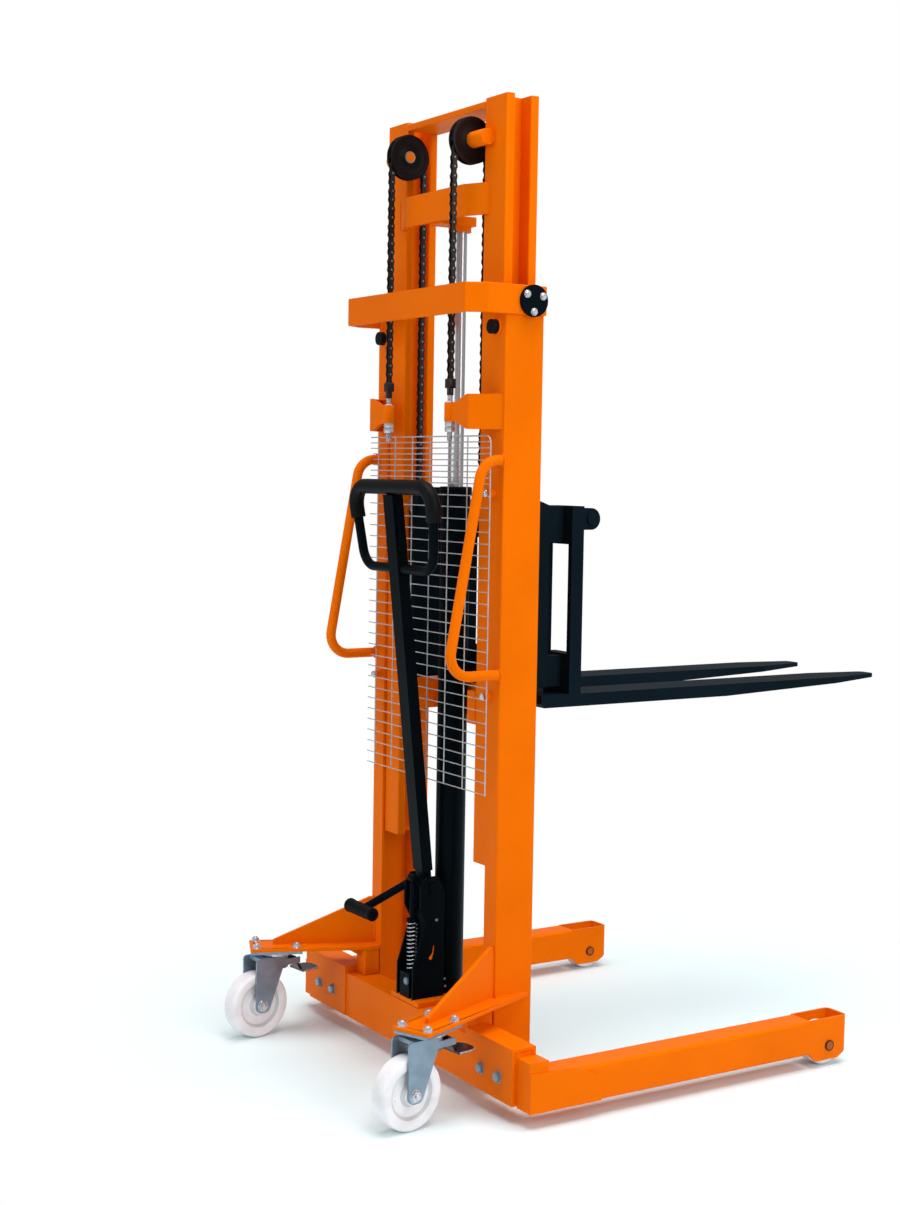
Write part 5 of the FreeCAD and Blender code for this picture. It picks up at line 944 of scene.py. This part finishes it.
# Chain anchors: a threaded rod through each bracket, nuts below, and a black connector block above
# that takes the last link of the chain.
anchor_top = 1.4615
anchor_bottom = 1.4215
anchor_nut = 0.0106
anchor_nut_corner = 0.0110
anchor_nut_places = (0.0, 0.0112)
anchor_washer = 0.0105
thread_radius = 0.006
thread_depth = 0.0009
thread_pitch = 0.0018
thread_tip = 0.0042
stud_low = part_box("chain_anchor_bolts")[0].z
connector_low = anchor_top + 0.0165
connector_neck = ((connector_low - 0.001, 0.0066), (connector_low + 0.001, 0.0072),
                  (connector_low + 0.014, 0.0072), (connector_low + 0.016, 0.0060))
connector_middle = connector_low + 0.0235
connector_size = (0.0190, 0.0175, 0.0205, 1.0)
connector_edge = 0.0024
thread = [(stud_low, thread_tip)]
for step in range(int((connector_low - stud_low) / thread_pitch)):
    thread.append((stud_low + (step + 0.5) * thread_pitch, thread_radius))
    thread.append((stud_low + (step + 1.0) * thread_pitch, thread_radius - thread_depth))
studs = bmesh.new()
blocks = bmesh.new()
for side in (-1, 1):
    foot = Vector((side * pulley_out, rear_y, 0))
    spin(studs, thread, foot, to_top, sides=18)
    for nut_start in anchor_nut_places:
        nut_place = foot + Vector((0, 0, anchor_bottom))
        hexagon(studs, nut_place, (0, 0, -1), anchor_nut, anchor_nut_corner, nut_start)
    washer(studs, foot + Vector((0, 0, anchor_top)), to_top, anchor_washer, washer_thick)
    spin(blocks, connector_neck, foot, to_top, sides=20)
    block_place = Matrix.Translation(foot + Vector((0, 0, connector_middle)))
    block = bmesh.ops.create_cube(blocks, size=1.0, matrix=block_place @ Matrix.Diagonal(connector_size))
    block_edges = {edge for vert in block["verts"] for edge in vert.link_edges}
    bmesh.ops.bevel(blocks, geom=list(block_edges), offset=connector_edge, segments=3, affect="EDGES",
                    profile=0.5)
stud_piece = add_piece("chain_anchor_studs", studs, bright_steel)
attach(stud_piece, "chassis")
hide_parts("chain_anchor_bolts")
block_piece = add_piece("chain_connectors", blocks, chain_steel)
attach(block_piece, "chassis")

# Carriage and forks: thick plate welded up and painted black. The carriage runs on rollers inside
# the inner uprights; the forks hang on a round bar and lean on the lower crossbar.
fork_black = enamel("fork_enamel", light=(0.0042, 0.009, 0.0135), deep=(0.0026, 0.006, 0.0095),
                    roughness=0.5, peel=0.12, sheen=0.04, tint=(0.3, 0.8, 1.0))
for node_name in ("carriage_sides", "carriage_bars", "fork_bar", "fork_right", "fork_left"):
    finish_node(node_name, fork_black, edge=0.0018)
for node_name in ("carriage_high_rollers", "carriage_low_rollers"):
    finish_node(node_name, bright_steel, edge=0.001)

# Pump: a welded bracket on an orange foot plate, a cast body, and a plunger under the tiller's cam.
# The plunger's return spring is an open coil of bright steel wire.
for node_name in ("pump_bracket", "pump_body"):
    finish_node(node_name, black, edge=0.0016)
finish_node("pump_plunger", black, edge=0.0008)
finish_node("pivot_pin", black, edge=0.001)
bracket_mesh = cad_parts["pump_bracket"].data
bracket_mesh.materials.append(orange)
foot_plate_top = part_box("pump_body")[0].z + 0.0005
for face in bracket_mesh.polygons:
    if all(bracket_mesh.vertices[corner].co.z < foot_plate_top for corner in face.vertices):
        face.material_index = 1
spring_steel = metal("spring_wire", (0.62, 0.64, 0.66), roughness=0.24, streak=40.0)
spring_low, spring_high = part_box("plunger_spring")
spring_wire = 0.0016
spring_turns = 12
turn_steps = 24
spring_x = (spring_low.x + spring_high.x) / 2
spring_y = (spring_low.y + spring_high.y) / 2
spring_radius = (spring_high.x - spring_low.x) / 2 - spring_wire
spring_rise = spring_high.z - spring_low.z - 2 * spring_wire
coil_steps = spring_turns * turn_steps
coil_spots = []
for step in range(coil_steps + 1):
    angle = 2 * math.pi * step / turn_steps
    coil_spots.append((spring_x + spring_radius * math.cos(angle), spring_y + spring_radius * math.sin(angle),
                       spring_low.z + spring_wire + spring_rise * step / coil_steps))
coil = bmesh.new()
sweep(coil, coil_spots, spring_wire)
coil_piece = add_piece("plunger_coil", coil, spring_steel, wire_crease)
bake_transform(coil_piece)
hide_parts("plunger_spring")

# Pump fittings: a keyhole in each cheek that shows orange paint behind it, small cheek screws,
# and a zinc hexagon plug at the foot of the spring.
cheek_face = 0.036
keyhole_proud = 0.0003
keyhole_deep = 0.0010
keyhole_y = -0.0190
keyhole_z = 0.2400
keyhole_round = 0.0042
keyhole = []
for degrees in range(115, 386, 15):
    angle = math.radians(degrees)
    keyhole.append((keyhole_y + keyhole_round * math.cos(angle), keyhole_z + keyhole_round * math.sin(angle)))
keyhole += [(-0.0128, 0.2480), (-0.0106, 0.2660), (-0.0122, 0.2672), (-0.0150, 0.2500), (-0.0200, 0.2450)]
slots = bmesh.new()
for side in (-1, 1):
    wall(slots, [[slots.verts.new((side * out, mast_rear + along, height)) for along, height in keyhole]
                 for out in (cheek_face + keyhole_proud, cheek_face - keyhole_deep)])
keyhole_piece = add_piece("pump_keyholes", slots, orange)
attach(keyhole_piece, "chassis")
cheek_screws = ((-0.005, 0.324, 0.0034), (0.0185, 0.188, 0.0024), (0.020, 0.171, 0.0028))
plug_x = 0.011
plug_z = 0.188
plug_head = 0.0052
plug_corner = 0.0086
fittings = bmesh.new()
for side in (-1, 1):
    for along, height, radius in cheek_screws:
        screw_outline = ((0.0, radius), (0.0012, radius), (0.0022, radius * 0.6))
        screw_place = (side * cheek_face, mast_rear + along, height)
        spin(fittings, screw_outline, screw_place, (side, 0, 0), sides=16)
hexagon(fittings, (plug_x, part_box("pump_body")[0].y, plug_z), to_rear, plug_head, plug_corner)
fitting_piece = add_piece("pump_fittings", fittings, zinc)
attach(fitting_piece, "chassis")

# Tiller: a box-section shaft with a handle loop of tube, a thick grip over the loop's upper part,
# and a release lever on the shaft's side. The steel is painted black, and the grip is rubber.
for node_name in ("tiller_shaft", "release_lever"):
    finish_node(node_name, black, edge=0.002)
finish_node("tiller_loop", black)
finish_node("tiller_grip", black_rubber, edge=0.002)

# Foot pedal: a round steel arm on the pivot pin, painted black.
# A ribbed rubber grip with a flared end is pushed over it.
finish_node("foot_pedal_arm", black)
grip_low, grip_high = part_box("foot_pedal_grip")
grip_y = (grip_low.y + grip_high.y) / 2
grip_z = (grip_low.z + grip_high.z) / 2
grip_length = grip_high.x - grip_low.x
grip_bore = 0.0092
rib_crest = 0.0150
rib_valley = 0.0138
rib_count = 14
ribs_start = 0.0072
rib_step = (grip_length - 0.016) / rib_count
grip_outline = [(0.0, grip_bore), (0.0, 0.0150), (0.0012, 0.0160), (0.0060, 0.0160), (ribs_start, 0.0146)]
for rib in range(rib_count):
    rib_start = ribs_start + rib * rib_step
    grip_outline += [(rib_start + rib_step * 0.15, rib_valley), (rib_start + rib_step * 0.35, rib_crest),
                     (rib_start + rib_step * 0.80, rib_crest), (rib_start + rib_step, rib_valley)]
grip_outline += [(grip_length - 0.0060, rib_crest), (grip_length - 0.0012, rib_crest), (grip_length, 0.0142),
                 (grip_length, grip_bore)]
grip = bmesh.new()
spin(grip, grip_outline + grip_outline[:1], (grip_low.x, grip_y, grip_z), (1, 0, 0), sides=40)
pedal_grip = add_piece("pedal_grip_ribbed", grip, black_rubber)
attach(pedal_grip, "foot_pedal")
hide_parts("foot_pedal_grip")
